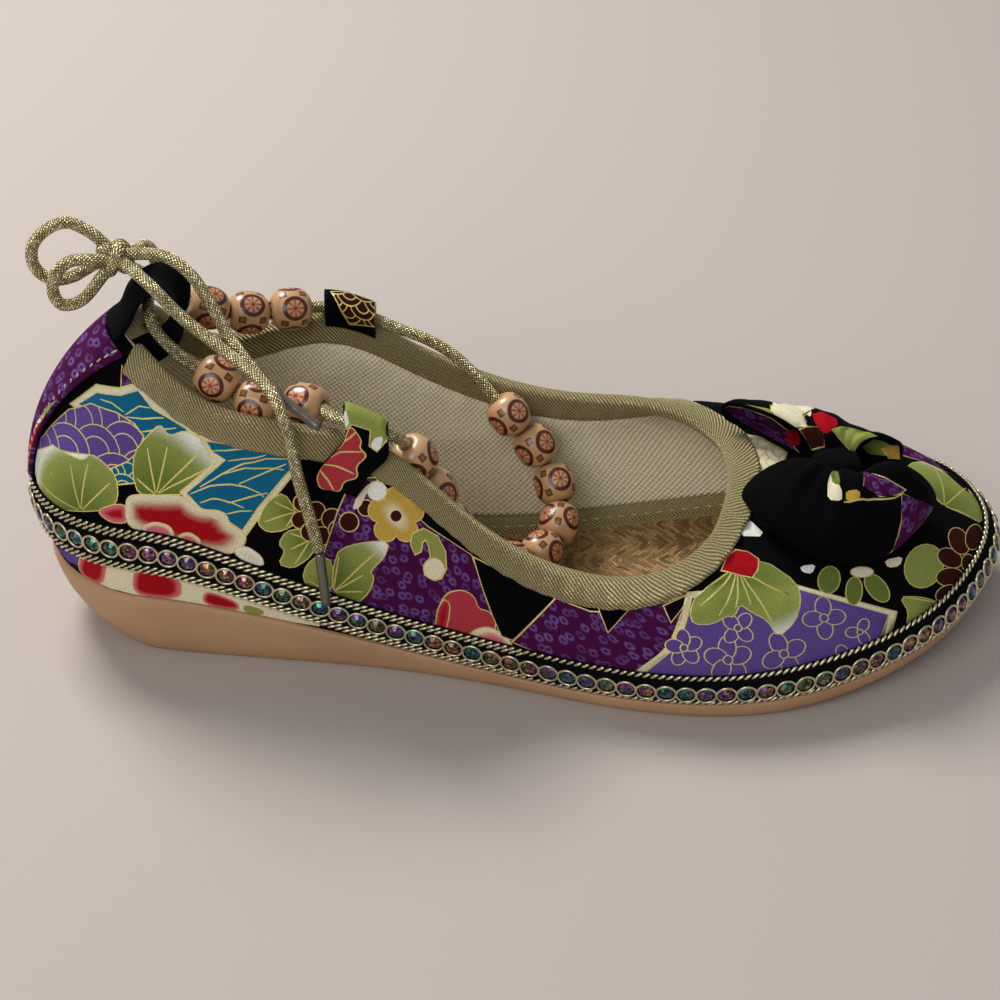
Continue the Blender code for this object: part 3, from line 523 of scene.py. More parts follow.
def make(name, points, faces, materials, uv=None, tint=None, finish=None, which=None, mend=True):
    """One mesh object in place. uv is per corner or per point, tint and finish per corner."""
    mesh = bpy.data.meshes.new(name)
    mesh.from_pydata((np.asarray(points, float) * MM).tolist(), [], [tuple(map(int, f)) for f in faces])
    corner = np.empty(len(mesh.loops), int)
    mesh.loops.foreach_get("vertex_index", corner)
    if uv is not None:
        uv = np.asarray(uv, float)
        layer = mesh.uv_layers.new(name="cloth")
        by_corner = len(uv) == len(corner) and len(uv) != len(points)
        layer.data.foreach_set("uv", (uv if by_corner else uv[corner]).ravel())
    if tint is not None:
        rgba = np.concatenate([np.asarray(tint, float), np.ones((len(tint), 1))], axis=1)
        mesh.color_attributes.new("tint", "FLOAT_COLOR", "CORNER").data.foreach_set("color", rgba.ravel())
    if finish is not None:
        mesh.attributes.new("finish", "FLOAT", "CORNER").data.foreach_set("value", np.asarray(finish, float))
    for m in materials:
        mesh.materials.append(m)
    if which is not None:
        mesh.polygons.foreach_set("material_index", np.asarray(which, int))
    mesh.polygons.foreach_set("use_smooth", np.ones(len(mesh.polygons), bool))
    bm = bmesh.new()
    bm.from_mesh(mesh)
    if mend:
        bmesh.ops.remove_doubles(bm, verts=bm.verts[:], dist=1e-7)
        bmesh.ops.recalc_face_normals(bm, faces=bm.faces[:])
    bm.to_mesh(mesh)
    bm.free()
    obj = bpy.data.objects.new(name, mesh)
    bpy.context.scene.collection.objects.link(obj)
    return obj


def dress(obj, slot, *nodes):
    """A finished piece rides on the shoe and stands for its CAD nodes, which are hidden; slot is not used."""
    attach(obj, BODY)
    if nodes:
        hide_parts(*nodes)


def corners(faces):
    """Point number of every face corner, in order."""
    return np.concatenate([np.asarray(f, int) for f in faces])


def put(tree, kind, fill=(), **settings):
    """Adds one node, a math node if kind is an operation, with its sockets filled; gives its first output."""
    if kind.isupper():
        settings["operation"] = kind
        kind = "ShaderNodeMath"
    node = tree.nodes.new(kind)
    for key, value in settings.items():
        setattr(node, key, value)
    fill_in(tree, node, fill if isinstance(fill, dict) else dict(enumerate(fill)))
    return next((s for s in node.outputs if s.enabled), node)


def fill_in(tree, node, fill):
    """Fills a node's sockets, by name or number, with values or links."""
    for key, value in fill.items():
        named = [s for s in node.inputs if s.name == key and s.enabled]
        socket = node.inputs[key] if isinstance(key, int) else named[0]
        if isinstance(value, bpy.types.NodeSocket):
            tree.links.new(value, socket)
        else:
            socket.default_value = value


RANGE = "ShaderNodeMapRange"   # its sockets: value, from low, from high, to low, to high
NOISE = "ShaderNodeTexNoise"
BUMP = "ShaderNodeBump"
VECTOR = "ShaderNodeVectorMath"
SPLIT = "ShaderNodeSeparateXYZ"
JOIN = "ShaderNodeCombineXYZ"
RAMP = "ShaderNodeValToRGB"
MAPPING = "ShaderNodeMapping"
ATTRIBUTE = "ShaderNodeAttribute"
MIX = "ShaderNodeMix"
TURN = 2.0 * math.pi


def opaque(rgb):
    """A colour with full alpha, as sockets want it."""
    return (*rgb, 1.0)


def ink(code):
    """A socket's colour from an sRGB hex value."""
    return opaque(linear(code))


def blank(name, **values):
    """A new node material with plain values on its shader; gives it, its tree and the shader."""
    m = bpy.data.materials.new(name)
    m.use_nodes = True
    shade = m.node_tree.nodes["Principled BSDF"]
    fill_in(m.node_tree, shade, {key.replace("_", " "): v for key, v in values.items()})
    return m, m.node_tree, shade


def with_uv(name, **values):
    """A blank material with the cloth's own coordinates."""
    m, tree, shade = blank(name, **values)
    return m, tree, shade, put(tree, "ShaderNodeUVMap", uv_map="cloth")


def with_place(name, **values):
    """A blank material with the object's coordinates."""
    m, tree, shade = blank(name, **values)
    return m, tree, shade, put(tree, "ShaderNodeTexCoord").node.outputs["Object"]


def threads(tree, uv, pitch):
    """Plain-weave height from two thread sets, -1 to 1."""
    split = put(tree, SPLIT, {"Vector": uv}).node
    waves = []
    for axis in (0, 1):
        phase = put(tree, "MULTIPLY", (split.outputs[axis], TURN / pitch))
        waves.append(put(tree, "SINE", (phase,)))
    return put(tree, "MULTIPLY", (waves[0], waves[1]))


def printed_cotton():
    """Roller-printed plain-weave cotton: matt, fine threads with painted shade in their hollows, tie-dye
    rings, gold ink that glints.
    """
    m, tree, shade, uv = with_uv("printed_cotton", Specular_IOR_Level=0.06)
    c = colours()
    tint = put(tree, ATTRIBUTE, attribute_name="tint")
    finish = put(tree, ATTRIBUTE, attribute_name="finish").node.outputs["Fac"]
    off = put(tree, "SUBTRACT", (finish, 1.0))
    gold = put(tree, "ADD", (off, 0.0), use_clamp=True)
    away = put(tree, "ABSOLUTE", (off,))
    dyed = put(tree, "SUBTRACT", (1.0, away), use_clamp=True)
    wobble = put(tree, NOISE, {"Vector": uv, "Scale": 0.9, "Detail": 2.0}).node.outputs["Color"]
    bent = put(tree, VECTOR, (wobble, (0.9, 0.9, 0.0)), operation="MULTIPLY")
    place = put(tree, VECTOR, (uv, bent), operation="ADD")
    cell = put(tree, "ShaderNodeTexVoronoi", {
        "Vector": place, "Scale": MM / sizes().tie_dye, "Randomness": 0.72}, voronoi_dimensions="2D")
    inner = put(tree, RANGE, (cell, 0.10, 0.18), interpolation_type="SMOOTHSTEP")
    outer = put(tree, RANGE, (cell, 0.40, 0.28), interpolation_type="SMOOTHSTEP")
    ring = put(tree, "MULTIPLY", (inner, outer))
    patch = put(tree, NOISE, {"Vector": uv, "Scale": 0.21, "Detail": 1.0})
    uneven = put(tree, RANGE, (patch, 0.36, 0.6, 0.3, 0.95))
    spots = put(tree, "MULTIPLY", (ring, uneven))
    spotted = put(tree, "MULTIPLY", (spots, dyed))
    mixed = put(tree, MIX, {"Factor": spotted, "A": tint, "B": opaque(c.spot)}, data_type="RGBA")
    weave = threads(tree, uv, sizes().weave / MM)
    grain = put(tree, NOISE, {"Vector": uv, "Scale": 2.2, "Detail": 3.0})
    # Painted shade in the thread hollows, from the weave, on top of the ink's uneven grain.
    ink_grain_and_weave_shade = put(tree, "MULTIPLY_ADD", (weave, 0.09, grain))
    light = put(tree, RANGE, (ink_grain_and_weave_shade, 0.3, 0.7, 0.80, 1.14))
    inked = put(tree, VECTOR, {0: mixed, "Scale": light}, operation="SCALE")
    metal = put(tree, "MULTIPLY", (gold, 0.55))
    rough = put(tree, RANGE, (gold, 0.0, 1.0, 0.86, 0.38))
    raised = put(tree, "MULTIPLY_ADD", (gold, 0.8, weave))
    bump = put(tree, BUMP, {"Height": raised, "Strength": 0.30, "Distance": 0.00022})
    fill_in(tree, shade, {"Base Color": inked, "Metallic": metal, "Roughness": rough, "Normal": bump})
    return m


def black_cotton():
    """Plain dyed cotton: near black, matt, with a faint nap."""
    m, tree, shade, uv = with_uv("black_cotton", Roughness=0.92, Specular_IOR_Level=0.06)
    nap = put(tree, NOISE, {"Vector": uv, "Scale": 1.6, "Detail": 4.0})
    fuzz = put(tree, MIX, {"Factor": nap, "A": opaque(colours().black), "B": ink("#121114")},
               data_type="RGBA")
    weave = threads(tree, uv, sizes().weave / MM)
    height = put(tree, "MULTIPLY_ADD", (nap, 2.0, weave))
    bump = put(tree, BUMP, {"Height": height, "Strength": 0.35, "Distance": 0.0002})
    fill_in(tree, shade, {"Base Color": fuzz, "Normal": bump})
    return m


def lining_canvas():
    """Unbleached canvas: thick plain weave, its hollows in painted shade darker than its threads."""
    m, tree, shade, uv = with_uv("lining_canvas", Roughness=0.93)
    weave = threads(tree, uv, sizes().canvas / MM)
    slub = put(tree, NOISE, {"Vector": uv, "Scale": 0.9, "Detail": 3.0})
    # Painted shade in the weave's hollows, mixed with the slub's uneven tone; the darker colour is the
    # painted shade.
    weave_shade_and_slub = put(tree, "MULTIPLY_ADD", (weave, 0.34, slub))
    t = put(tree, RANGE, (weave_shade_and_slub, 0.05, 0.7))
    paint = put(tree, MIX, {"Factor": t, "A": ink("#D8CFAC"), "B": opaque(colours().lining)},
                data_type="RGBA")
    bump = put(tree, BUMP, {"Height": weave, "Strength": 0.48, "Distance": 0.0005})
    fill_in(tree, shade, {"Base Color": paint, "Normal": bump})
    return m


def metallic_twill():
    """Twill tape of yarn wrapped in gold foil: slanting ribs, painted shade between them, a painted highlight
    on their crests and bright flecks.
    """
    m, tree, shade, uv = with_uv("metallic_twill", Metallic=0.42)
    c = colours()
    pitch = sizes().twill / MM
    split = put(tree, SPLIT, {"Vector": uv}).node
    waves = []
    for lean, finer in ((0.8, 1.0), (-1.5, 0.62)):
        slant = put(tree, "MULTIPLY_ADD", (split.outputs[1], lean, split.outputs[0]))
        phase = put(tree, "MULTIPLY", (slant, TURN / (pitch * finer)))
        waves.append(put(tree, "SINE", (phase,)))
    rib = put(tree, "MULTIPLY_ADD", (waves[1], 0.45, waves[0]))
    fleck = put(tree, NOISE, {"Vector": uv, "Scale": 1.9, "Detail": 2.0})
    # The rib height paints the colour: painted shade in the valleys, painted highlight on the crests.
    mixed = put(tree, "MULTIPLY_ADD", (fleck, 2.4, rib))
    t = put(tree, RANGE, (mixed, -0.1, 2.6))
    ramp = put(tree, RAMP, {"Fac": t}).node
    ramp.color_ramp.elements[0].color = opaque(c.twill_valley_shade)
    ramp.color_ramp.elements[1].color = opaque(c.twill_crest_highlight)
    ramp.color_ramp.elements.new(0.45).color = opaque(c.twill_mid)
    rough = put(tree, RANGE, (t, 0.0, 1.0, 0.62, 0.36))
    bump = put(tree, BUMP, {"Height": rib, "Strength": 0.7, "Distance": 0.00035})
    fill_in(tree, shade, {"Base Color": ramp.outputs[0], "Roughness": rough, "Normal": bump})
    return m


def woven_straw():
    """Raffia straw plaited in chevrons: flat slanting strands, light and shaded, with a soft shine."""
    m, tree, shade, place = with_place("woven_straw", Roughness=0.62)
    c = colours()
    mm = put(tree, MAPPING, {"Vector": place, "Scale": (1 / MM, 1 / MM, 0.0)})
    drift = put(tree, NOISE, {"Vector": mm, "Scale": 0.16, "Detail": 2.0}).node.outputs["Color"]
    sway = put(tree, VECTOR, (drift, (2.0, 3.2, 0.0), mm), operation="MULTIPLY_ADD")
    split = put(tree, SPLIT, {"Vector": sway}).node
    band = put(tree, "MULTIPLY", (split.outputs[1], 1 / 15.0))
    part = put(tree, "FRACT", (band,))
    middle = put(tree, "SUBTRACT", (part, 0.5))
    fold = put(tree, "ABSOLUTE", (middle,))
    ahead = put(tree, "MULTIPLY_ADD", (fold, 15.0, split.outputs[0]))
    across = put(tree, "MULTIPLY_ADD", (fold, -15.0, split.outputs[0]))
    chevron = put(tree, JOIN, {"X": ahead, "Y": across})
    brick = put(tree, "ShaderNodeTexBrick", {
        "Vector": chevron, "Color1": opaque(c.straw_low), "Color2": opaque(c.straw_high),
        "Mortar": ink("#4A3419"), "Scale": 1.0, "Mortar Size": 0.16, "Mortar Smooth": 1.0,
        "Bias": 0.0, "Brick Width": 5.2, "Row Height": 1.25}, offset=0.37).node
    stretch = put(tree, MAPPING, {"Vector": chevron, "Scale": (0.14, 1.6, 1.0)})
    fibre = put(tree, NOISE, {"Vector": stretch, "Scale": 1.0, "Detail": 5.0, "Roughness": 0.65})
    light = put(tree, RANGE, (fibre, 0.3, 0.7, 0.7, 1.3))
    paint = put(tree, VECTOR, {0: brick.outputs["Color"], "Scale": light}, operation="SCALE")
    height = put(tree, "MULTIPLY_ADD", (brick.outputs["Fac"], -0.8, fibre))
    bump = put(tree, BUMP, {"Height": height, "Strength": 0.7, "Distance": 0.0006})
    fill_in(tree, shade, {"Base Color": paint, "Normal": bump})
    return m


def foamed_rubber():
    """Moulded tan rubber: even and matt, slightly cloudy, with a fine pebbled skin."""
    m, tree, shade, place = with_place("foamed_rubber", Roughness=0.58)
    cloud = put(tree, NOISE, {"Vector": place, "Scale": 60.0, "Detail": 4.0})
    t = put(tree, RANGE, (cloud, 0.35, 0.65))
    paint = put(tree, MIX, {"Factor": t, "A": ink("#B28B66"), "B": opaque(colours().sole)}, data_type="RGBA")
    skin = put(tree, NOISE, {"Vector": place, "Scale": 1400.0, "Detail": 2.0})
    bump = put(tree, BUMP, {"Height": skin, "Strength": 0.25, "Distance": 0.00025})
    fill_in(tree, shade, {"Base Color": paint, "Normal": bump})
    return m


def foil_braid():
    """Braided cord of foil yarn: small crossing cells, bright ones painted as glints, dark yarn and painted
    shade between them.
    """
    m, tree, shade, uv = with_uv("foil_braid", Metallic=0.7)
    c = colours()
    split = put(tree, SPLIT, {"Vector": uv}).node
    cells = []
    waves = []
    for way in (1.0, -1.0):
        slant = put(tree, "MULTIPLY_ADD", (split.outputs[1], way, split.outputs[0]))
        cells.append(put(tree, "FLOOR", (slant,)))
        phase = put(tree, "MULTIPLY", (slant, math.pi))
        sine = put(tree, "SINE", (phase,))
        waves.append(put(tree, "ABSOLUTE", (sine,)))
    cell = put(tree, JOIN, {"X": cells[0], "Y": cells[1]})
    spark = put(tree, "ShaderNodeTexWhiteNoise", {"Vector": cell}, noise_dimensions="2D")
    height = put(tree, "MULTIPLY", (waves[0], waves[1]))
    # Painted glints: cells picked at random are painted bright; painted shade darkens the cell edges.
    t = put(tree, "POWER", (spark, 2.2))
    lit = put(tree, "MULTIPLY_ADD", (t, 0.8, height))
    fade = put(tree, RANGE, (lit, 0.18, 1.4))
    ramp = put(tree, RAMP, {"Fac": fade}).node
    ramp.color_ramp.elements[0].color = opaque(c.cord_yarn_and_shade)
    ramp.color_ramp.elements[1].color = opaque(c.cord_foil_glint)
    ramp.color_ramp.elements.new(0.42).color = ink("#C9BB80")
    rough = put(tree, RANGE, (spark, 0.0, 1.0, 0.5, 0.22))
    bump = put(tree, BUMP, {"Height": height, "Strength": 0.8, "Distance": 0.0004})
    fill_in(tree, shade, {"Base Color": ramp.outputs[0], "Roughness": rough, "Normal": bump})
    return m


def printed_bead():
    """Waxed light wood with printed roundels: dark ring, red eight-spoke star, small squares between."""
    m, tree, shade, uv = with_uv("printed_bead", Roughness=0.32, Coat_Weight=0.35, Coat_Roughness=0.15)
    c = colours()
    split = put(tree, SPLIT, {"Vector": uv}).node
    quarter = TURN * BEAD_R / 4
    across = {}
    for name, shift in (("roundel", 0.0), ("square", 0.5)):
        spun = put(tree, "MULTIPLY_ADD", (split.outputs[0], 4.0, shift))
        part = put(tree, "FRACT", (spun,))
        across[name] = put(tree, "MULTIPLY_ADD", (part, quarter, -quarter / 2))
    tall = put(tree, "SUBTRACT", (split.outputs[1], 0.5))
    up = put(tree, "MULTIPLY", (tall, 12.0))
    spot = put(tree, JOIN, {"X": across["roundel"], "Y": up})
    r = put(tree, VECTOR, (spot,), operation="LENGTH").node.outputs["Value"]
    angle = put(tree, "ARCTAN2", (up, across["roundel"]))
    spoke_turn = put(tree, "MULTIPLY", (angle, 4.0))
    spoke_wave = put(tree, "SINE", (spoke_turn,))
    spoke_size = put(tree, "ABSOLUTE", (spoke_wave,))
    spoke = put(tree, RANGE, (spoke_size, 0.62, 0.42))
    inside = put(tree, RANGE, (r, 2.3, 2.1))
    star = put(tree, "MULTIPLY", (spoke, inside))
    heart = put(tree, RANGE, (r, 0.65, 0.5))
    red = put(tree, "MAXIMUM", (star, heart))
    ring_off = put(tree, "SUBTRACT", (r, 2.8))
    ring_by = put(tree, "ABSOLUTE", (ring_off,))
    ring = put(tree, RANGE, (ring_by, 0.62, 0.46))
    side = put(tree, "ABSOLUTE", (across["square"],))
    level = put(tree, "ABSOLUTE", (up,))
    lift = put(tree, "SUBTRACT", (level, 2.7))
    rise = put(tree, "ABSOLUTE", (lift,))
    box = put(tree, "MAXIMUM", (side, rise))
    box_off = put(tree, "SUBTRACT", (box, 0.75))
    box_by = put(tree, "ABSOLUTE", (box_off,))
    frame_line = put(tree, RANGE, (box_by, 0.24, 0.14))
    dark = put(tree, "MAXIMUM", (ring, frame_line))
    middle = put(tree, RANGE, (box, 0.62, 0.5))
    grain = put(tree, NOISE, {"Vector": uv, "Scale": 9.0, "Detail": 4.0})
    wood = put(tree, MIX, {"Factor": grain, "A": ink("#B48555"), "B": opaque(c.bead)}, data_type="RGBA")
    boxed = put(tree, MIX, {"Factor": middle, "A": wood, "B": ink("#8A5A22")}, data_type="RGBA")
    starred = put(tree, MIX, {"Factor": red, "A": boxed, "B": opaque(c.bead_star)}, data_type="RGBA")
    ringed = put(tree, MIX, {"Factor": dark, "A": starred, "B": opaque(c.bead_ring)}, data_type="RGBA")
    bump = put(tree, BUMP, {"Height": grain, "Strength": 0.15, "Distance": 0.0002})
    fill_in(tree, shade, {"Base Color": ringed, "Normal": bump})
    return m


def pale_gold():
    """Thin pale-gold plating on wire and foil: bright, slightly worn."""
    m, tree, shade, place = with_place("pale_gold", Metallic=0.9)
    wear = put(tree, NOISE, {"Vector": place, "Scale": 420.0, "Detail": 2.0})
    paint = put(tree, MIX, {"Factor": wear, "A": ink("#A79B72"), "B": opaque(colours().metal)},
                data_type="RGBA")
    rough = put(tree, RANGE, (wear, 0.0, 1.0, 0.42, 0.2))
    fill_in(tree, shade, {"Base Color": paint, "Roughness": rough})
    return m


def coated_sequin():
    """Cut sequin with an oil-film coating: each one leans to green, blue, violet, pink or gold; its small
    flecks are painted glints.
    """
    m, tree, shade = blank("coated_sequin", Metallic=0.75, Roughness=0.2, Coat_Weight=0.3,
                           Coat_Roughness=0.05)
    hue = put(tree, ATTRIBUTE, attribute_name="shade").node.outputs["Fac"]
    place = put(tree, "ShaderNodeTexCoord").node.outputs["Object"]
    fleck = put(tree, "ShaderNodeTexVoronoi", {"Vector": place, "Scale": 1500.0}).node.outputs["Color"]
    parts = put(tree, SPLIT, {"Vector": fleck}).node
    lean = put(tree, "MULTIPLY_ADD", (parts.outputs[0], 0.55, hue))
    turned = put(tree, "FRACT", (lean,))
    ramp = put(tree, RAMP, {"Fac": turned}).node
    stops = ("#14343A", "#2F8A5E", "#2B3E8C", "#8A2E7C", "#B48A3C", "#14343A")
    ramp.color_ramp.elements[0].color = ink(stops[0])
    ramp.color_ramp.elements[1].color = ink(stops[-1])
    for k, code in enumerate(stops[1:-1]):
        ramp.color_ramp.elements.new((k + 1) / (len(stops) - 1)).color = ink(code)
    # Painted glints: each small fleck is painted from near black to brighter than the coating.
    bright = put(tree, RANGE, (parts.outputs[1], 0.0, 1.0, 0.05, 1.5))
    paint = put(tree, VECTOR, {0: ramp.outputs[0], "Scale": bright}, operation="SCALE")
    fill_in(tree, shade, {"Base Color": paint})
    return m


def drawn_steel():
    """Thin steel tube crimped on the cord's end: drawn lines along it, a soft dark shine."""
    m, tree, shade, uv = with_uv("drawn_steel", Metallic=1.0)
    lines = put(tree, MAPPING, {"Vector": uv, "Scale": (6.0, 0.15, 1.0)})
    drawn = put(tree, NOISE, {"Vector": lines, "Scale": 1.0, "Detail": 3.0})
    paint = put(tree, MIX, {"Factor": drawn, "A": ink("#4A4A48"), "B": ink("#9A9A94")}, data_type="RGBA")
    rough = put(tree, RANGE, (drawn, 0.0, 1.0, 0.22, 0.42))
    fill_in(tree, shade, {"Base Color": paint, "Roughness": rough})
    return m


def smoked_acetate():
    """Heat-shrunk acetate film over the cord: smoky brown grey and glossy, the cord a shade inside."""
    m, tree, shade, uv = with_uv("smoked_acetate", Roughness=0.18, Coat_Weight=0.5, Coat_Roughness=0.08)
    haze = put(tree, NOISE, {"Vector": uv, "Scale": 0.6, "Detail": 2.0})
    paint = put(tree, MIX, {"Factor": haze, "A": ink("#3A352E"), "B": ink("#6E665A")}, data_type="RGBA")
    fill_in(tree, shade, {"Base Color": paint})
    return m


def stitch_thread():
    """Mercerised sewing thread: pale gold, slightly shiny, twisted."""
    m, tree, shade, place = with_place("stitch_thread", Roughness=0.55)
    ply = put(tree, NOISE, {"Vector": place, "Scale": 2500.0, "Detail": 1.0})
    paint = put(tree, MIX, {"Factor": ply, "A": ink("#A8986A"), "B": ink("#E6DCB8")}, data_type="RGBA")
    fill_in(tree, shade, {"Base Color": paint})
    return m


MATERIALS = {}


def material(maker):
    """A material, made once."""
    if maker.__name__ not in MATERIALS:
        MATERIALS[maker.__name__] = maker()
    return MATERIALS[maker.__name__]


PLAIN, DYED, FOIL = 0.0, 1.0, 2.0
PURPLE = linear("#480F40")
BLACK = linear("#060507")
RED = linear("#A8101C")
PINK = linear("#D9707A")
CREAM = linear("#E9DFBE")
GREEN = linear("#6C7A36")
OLIVE = linear("#929B4E")
WHITE = linear("#F0F1E8")
BROWN = linear("#3B1710")
GOLD = linear("#E6D681")
TEAL = linear("#14688A")
VIOLET = linear("#624B92")
YELLOW = linear("#C9A548")
CORAL = linear("#B23A44")

PX_PER_MM = FOCAL_PX / CAMERA_AWAY

LINE = 0.3              # width of the gold line round a motif
FINE_LINE = 0.28
WAVE_LINE = 0.32
TAPER = 0.35
LOW_END = (0.0008, 0.002)
HIGH_END = (0.9992, 0.99)
LEAF_RINGS = (1.0, 0.85, 0.7, 0.5, 0.3, 0.05)

Patch = namedtuple("Patch", "ring within paint finish loops")


def camera_axes():
    """The camera's right, up and forward directions."""
    s, c = math.sin(CAMERA_TURN), math.cos(CAMERA_TURN)
    es, ec = math.sin(CAMERA_ELEVATION), math.cos(CAMERA_ELEVATION)
    return np.array([c, -s, 0.0]), np.array([s * es, c * es, ec]), np.array([s * ec, c * ec, -es])


def camera_place():
    """Where the camera stands."""
    return np.asarray(CAMERA_AIM) - camera_axes()[2] * CAMERA_AWAY


def in_photo(points):
    """Photo pixels of points."""
    right, over, ahead = camera_axes()
    d = np.asarray(points, float) - camera_place()
    deep = d @ ahead
    x = FRAME_PX / 2 + FOCAL_PX * (d @ right) / deep
    y = FRAME_PX / 2 - FOCAL_PX * (d @ over) / deep
    return np.stack([x, y], axis=1)


def plan(points):
    """Places of points seen from above."""
    return points[:, :2]


def close_in(ab, place, target):
    """Moves places on a cloth until a measure of their points meets a target."""
    h = 0.0008
    ab = np.array(ab, float)
    for _ in range(16):
        p = place(ab)
        da = (place(ab + np.array([h, 0.0])) - p) / h
        db = (place(ab + np.array([0.0, h])) - p) / h
        r = target - p
        det = da[:, 0] * db[:, 1] - da[:, 1] * db[:, 0]
        det = np.where(np.abs(det) < 1e-3, 1e-3, det)
        by_a = r[:, 0] * db[:, 1] - r[:, 1] * db[:, 0]
        by_b = da[:, 0] * r[:, 1] - da[:, 1] * r[:, 0]
        move = np.stack([by_a, by_b], axis=1)
        ab = np.clip(ab + np.clip(move / det[:, None], -0.03, 0.03), 0.0, 1.0)
    return ab


def inside(points, ring):
    """Which points lie inside a ring."""
    hit = np.zeros(len(points), bool)
    x, y = points[:, 0], points[:, 1]
    for (x0, y0), (x1, y1) in zip(ring, np.roll(ring, -1, axis=0)):
        if y0 != y1:
            hit ^= ((y0 > y) != (y1 > y)) & (x < (x1 - x0) * (y - y0) / (y1 - y0) + x0)
    return hit


def edge_distance(points, ring):
    """Distance of points from a ring's line."""
    best = np.full(len(points), 1e9)
    for a, b in zip(ring, np.roll(ring, -1, axis=0)):
        d = b - a
        t = np.clip(((points - a) @ d) / max(d @ d, 1e-12), 0.0, 1.0)
        best = np.minimum(best, np.linalg.norm(points - a - t[:, None] * d, axis=1))
    return best


def turned(outline, degrees):
    """An outline turned clockwise."""
    a = math.radians(degrees)
    x, y = np.asarray(outline, float).T
    return np.stack([x * math.cos(a) + y * math.sin(a), -x * math.sin(a) + y * math.cos(a)], axis=1)


def rounded(ring, times=2):
    """A ring with its corners cut soft."""
    p = np.asarray(ring, float)
    for _ in range(times):
        q = np.roll(p, -1, axis=0)
        p = np.stack([0.78 * p + 0.22 * q, 0.22 * p + 0.78 * q], axis=1).reshape(-1, 2)
    return p


def circle(radius, count=20):
    """Outline of a disc."""
    a = np.arange(count) * TURN / count
    return np.stack([np.cos(a), np.sin(a)], axis=1) * radius


def petals(radius, number, depth, count=40):
    """Outline of a round flower with notched petals."""
    a = np.arange(count) * TURN / count
    r = radius * (1.0 - depth + depth * np.abs(np.cos(a * number / 2)) ** 0.7)
    return np.stack([np.sin(a), np.cos(a)], axis=1) * r[:, None]


LEAF = np.array((
    (0.0, 0.0), (0.26, 0.02), (0.47, 0.16), (0.44, 0.30), (0.60, 0.44), (0.50, 0.52), (0.62, 0.74),
    (0.36, 0.68), (0.28, 0.78), (0.20, 0.92), (0.02, 1.04), (-0.10, 0.84), (-0.18, 0.72), (-0.34, 0.80),
    (-0.60, 0.78), (-0.50, 0.52), (-0.58, 0.42), (-0.44, 0.30), (-0.48, 0.14), (-0.26, 0.02)))
LEAF_VEINS = ((0.02, 0.86), (0.44, 0.58), (0.40, 0.20), (-0.44, 0.62), (-0.40, 0.20))


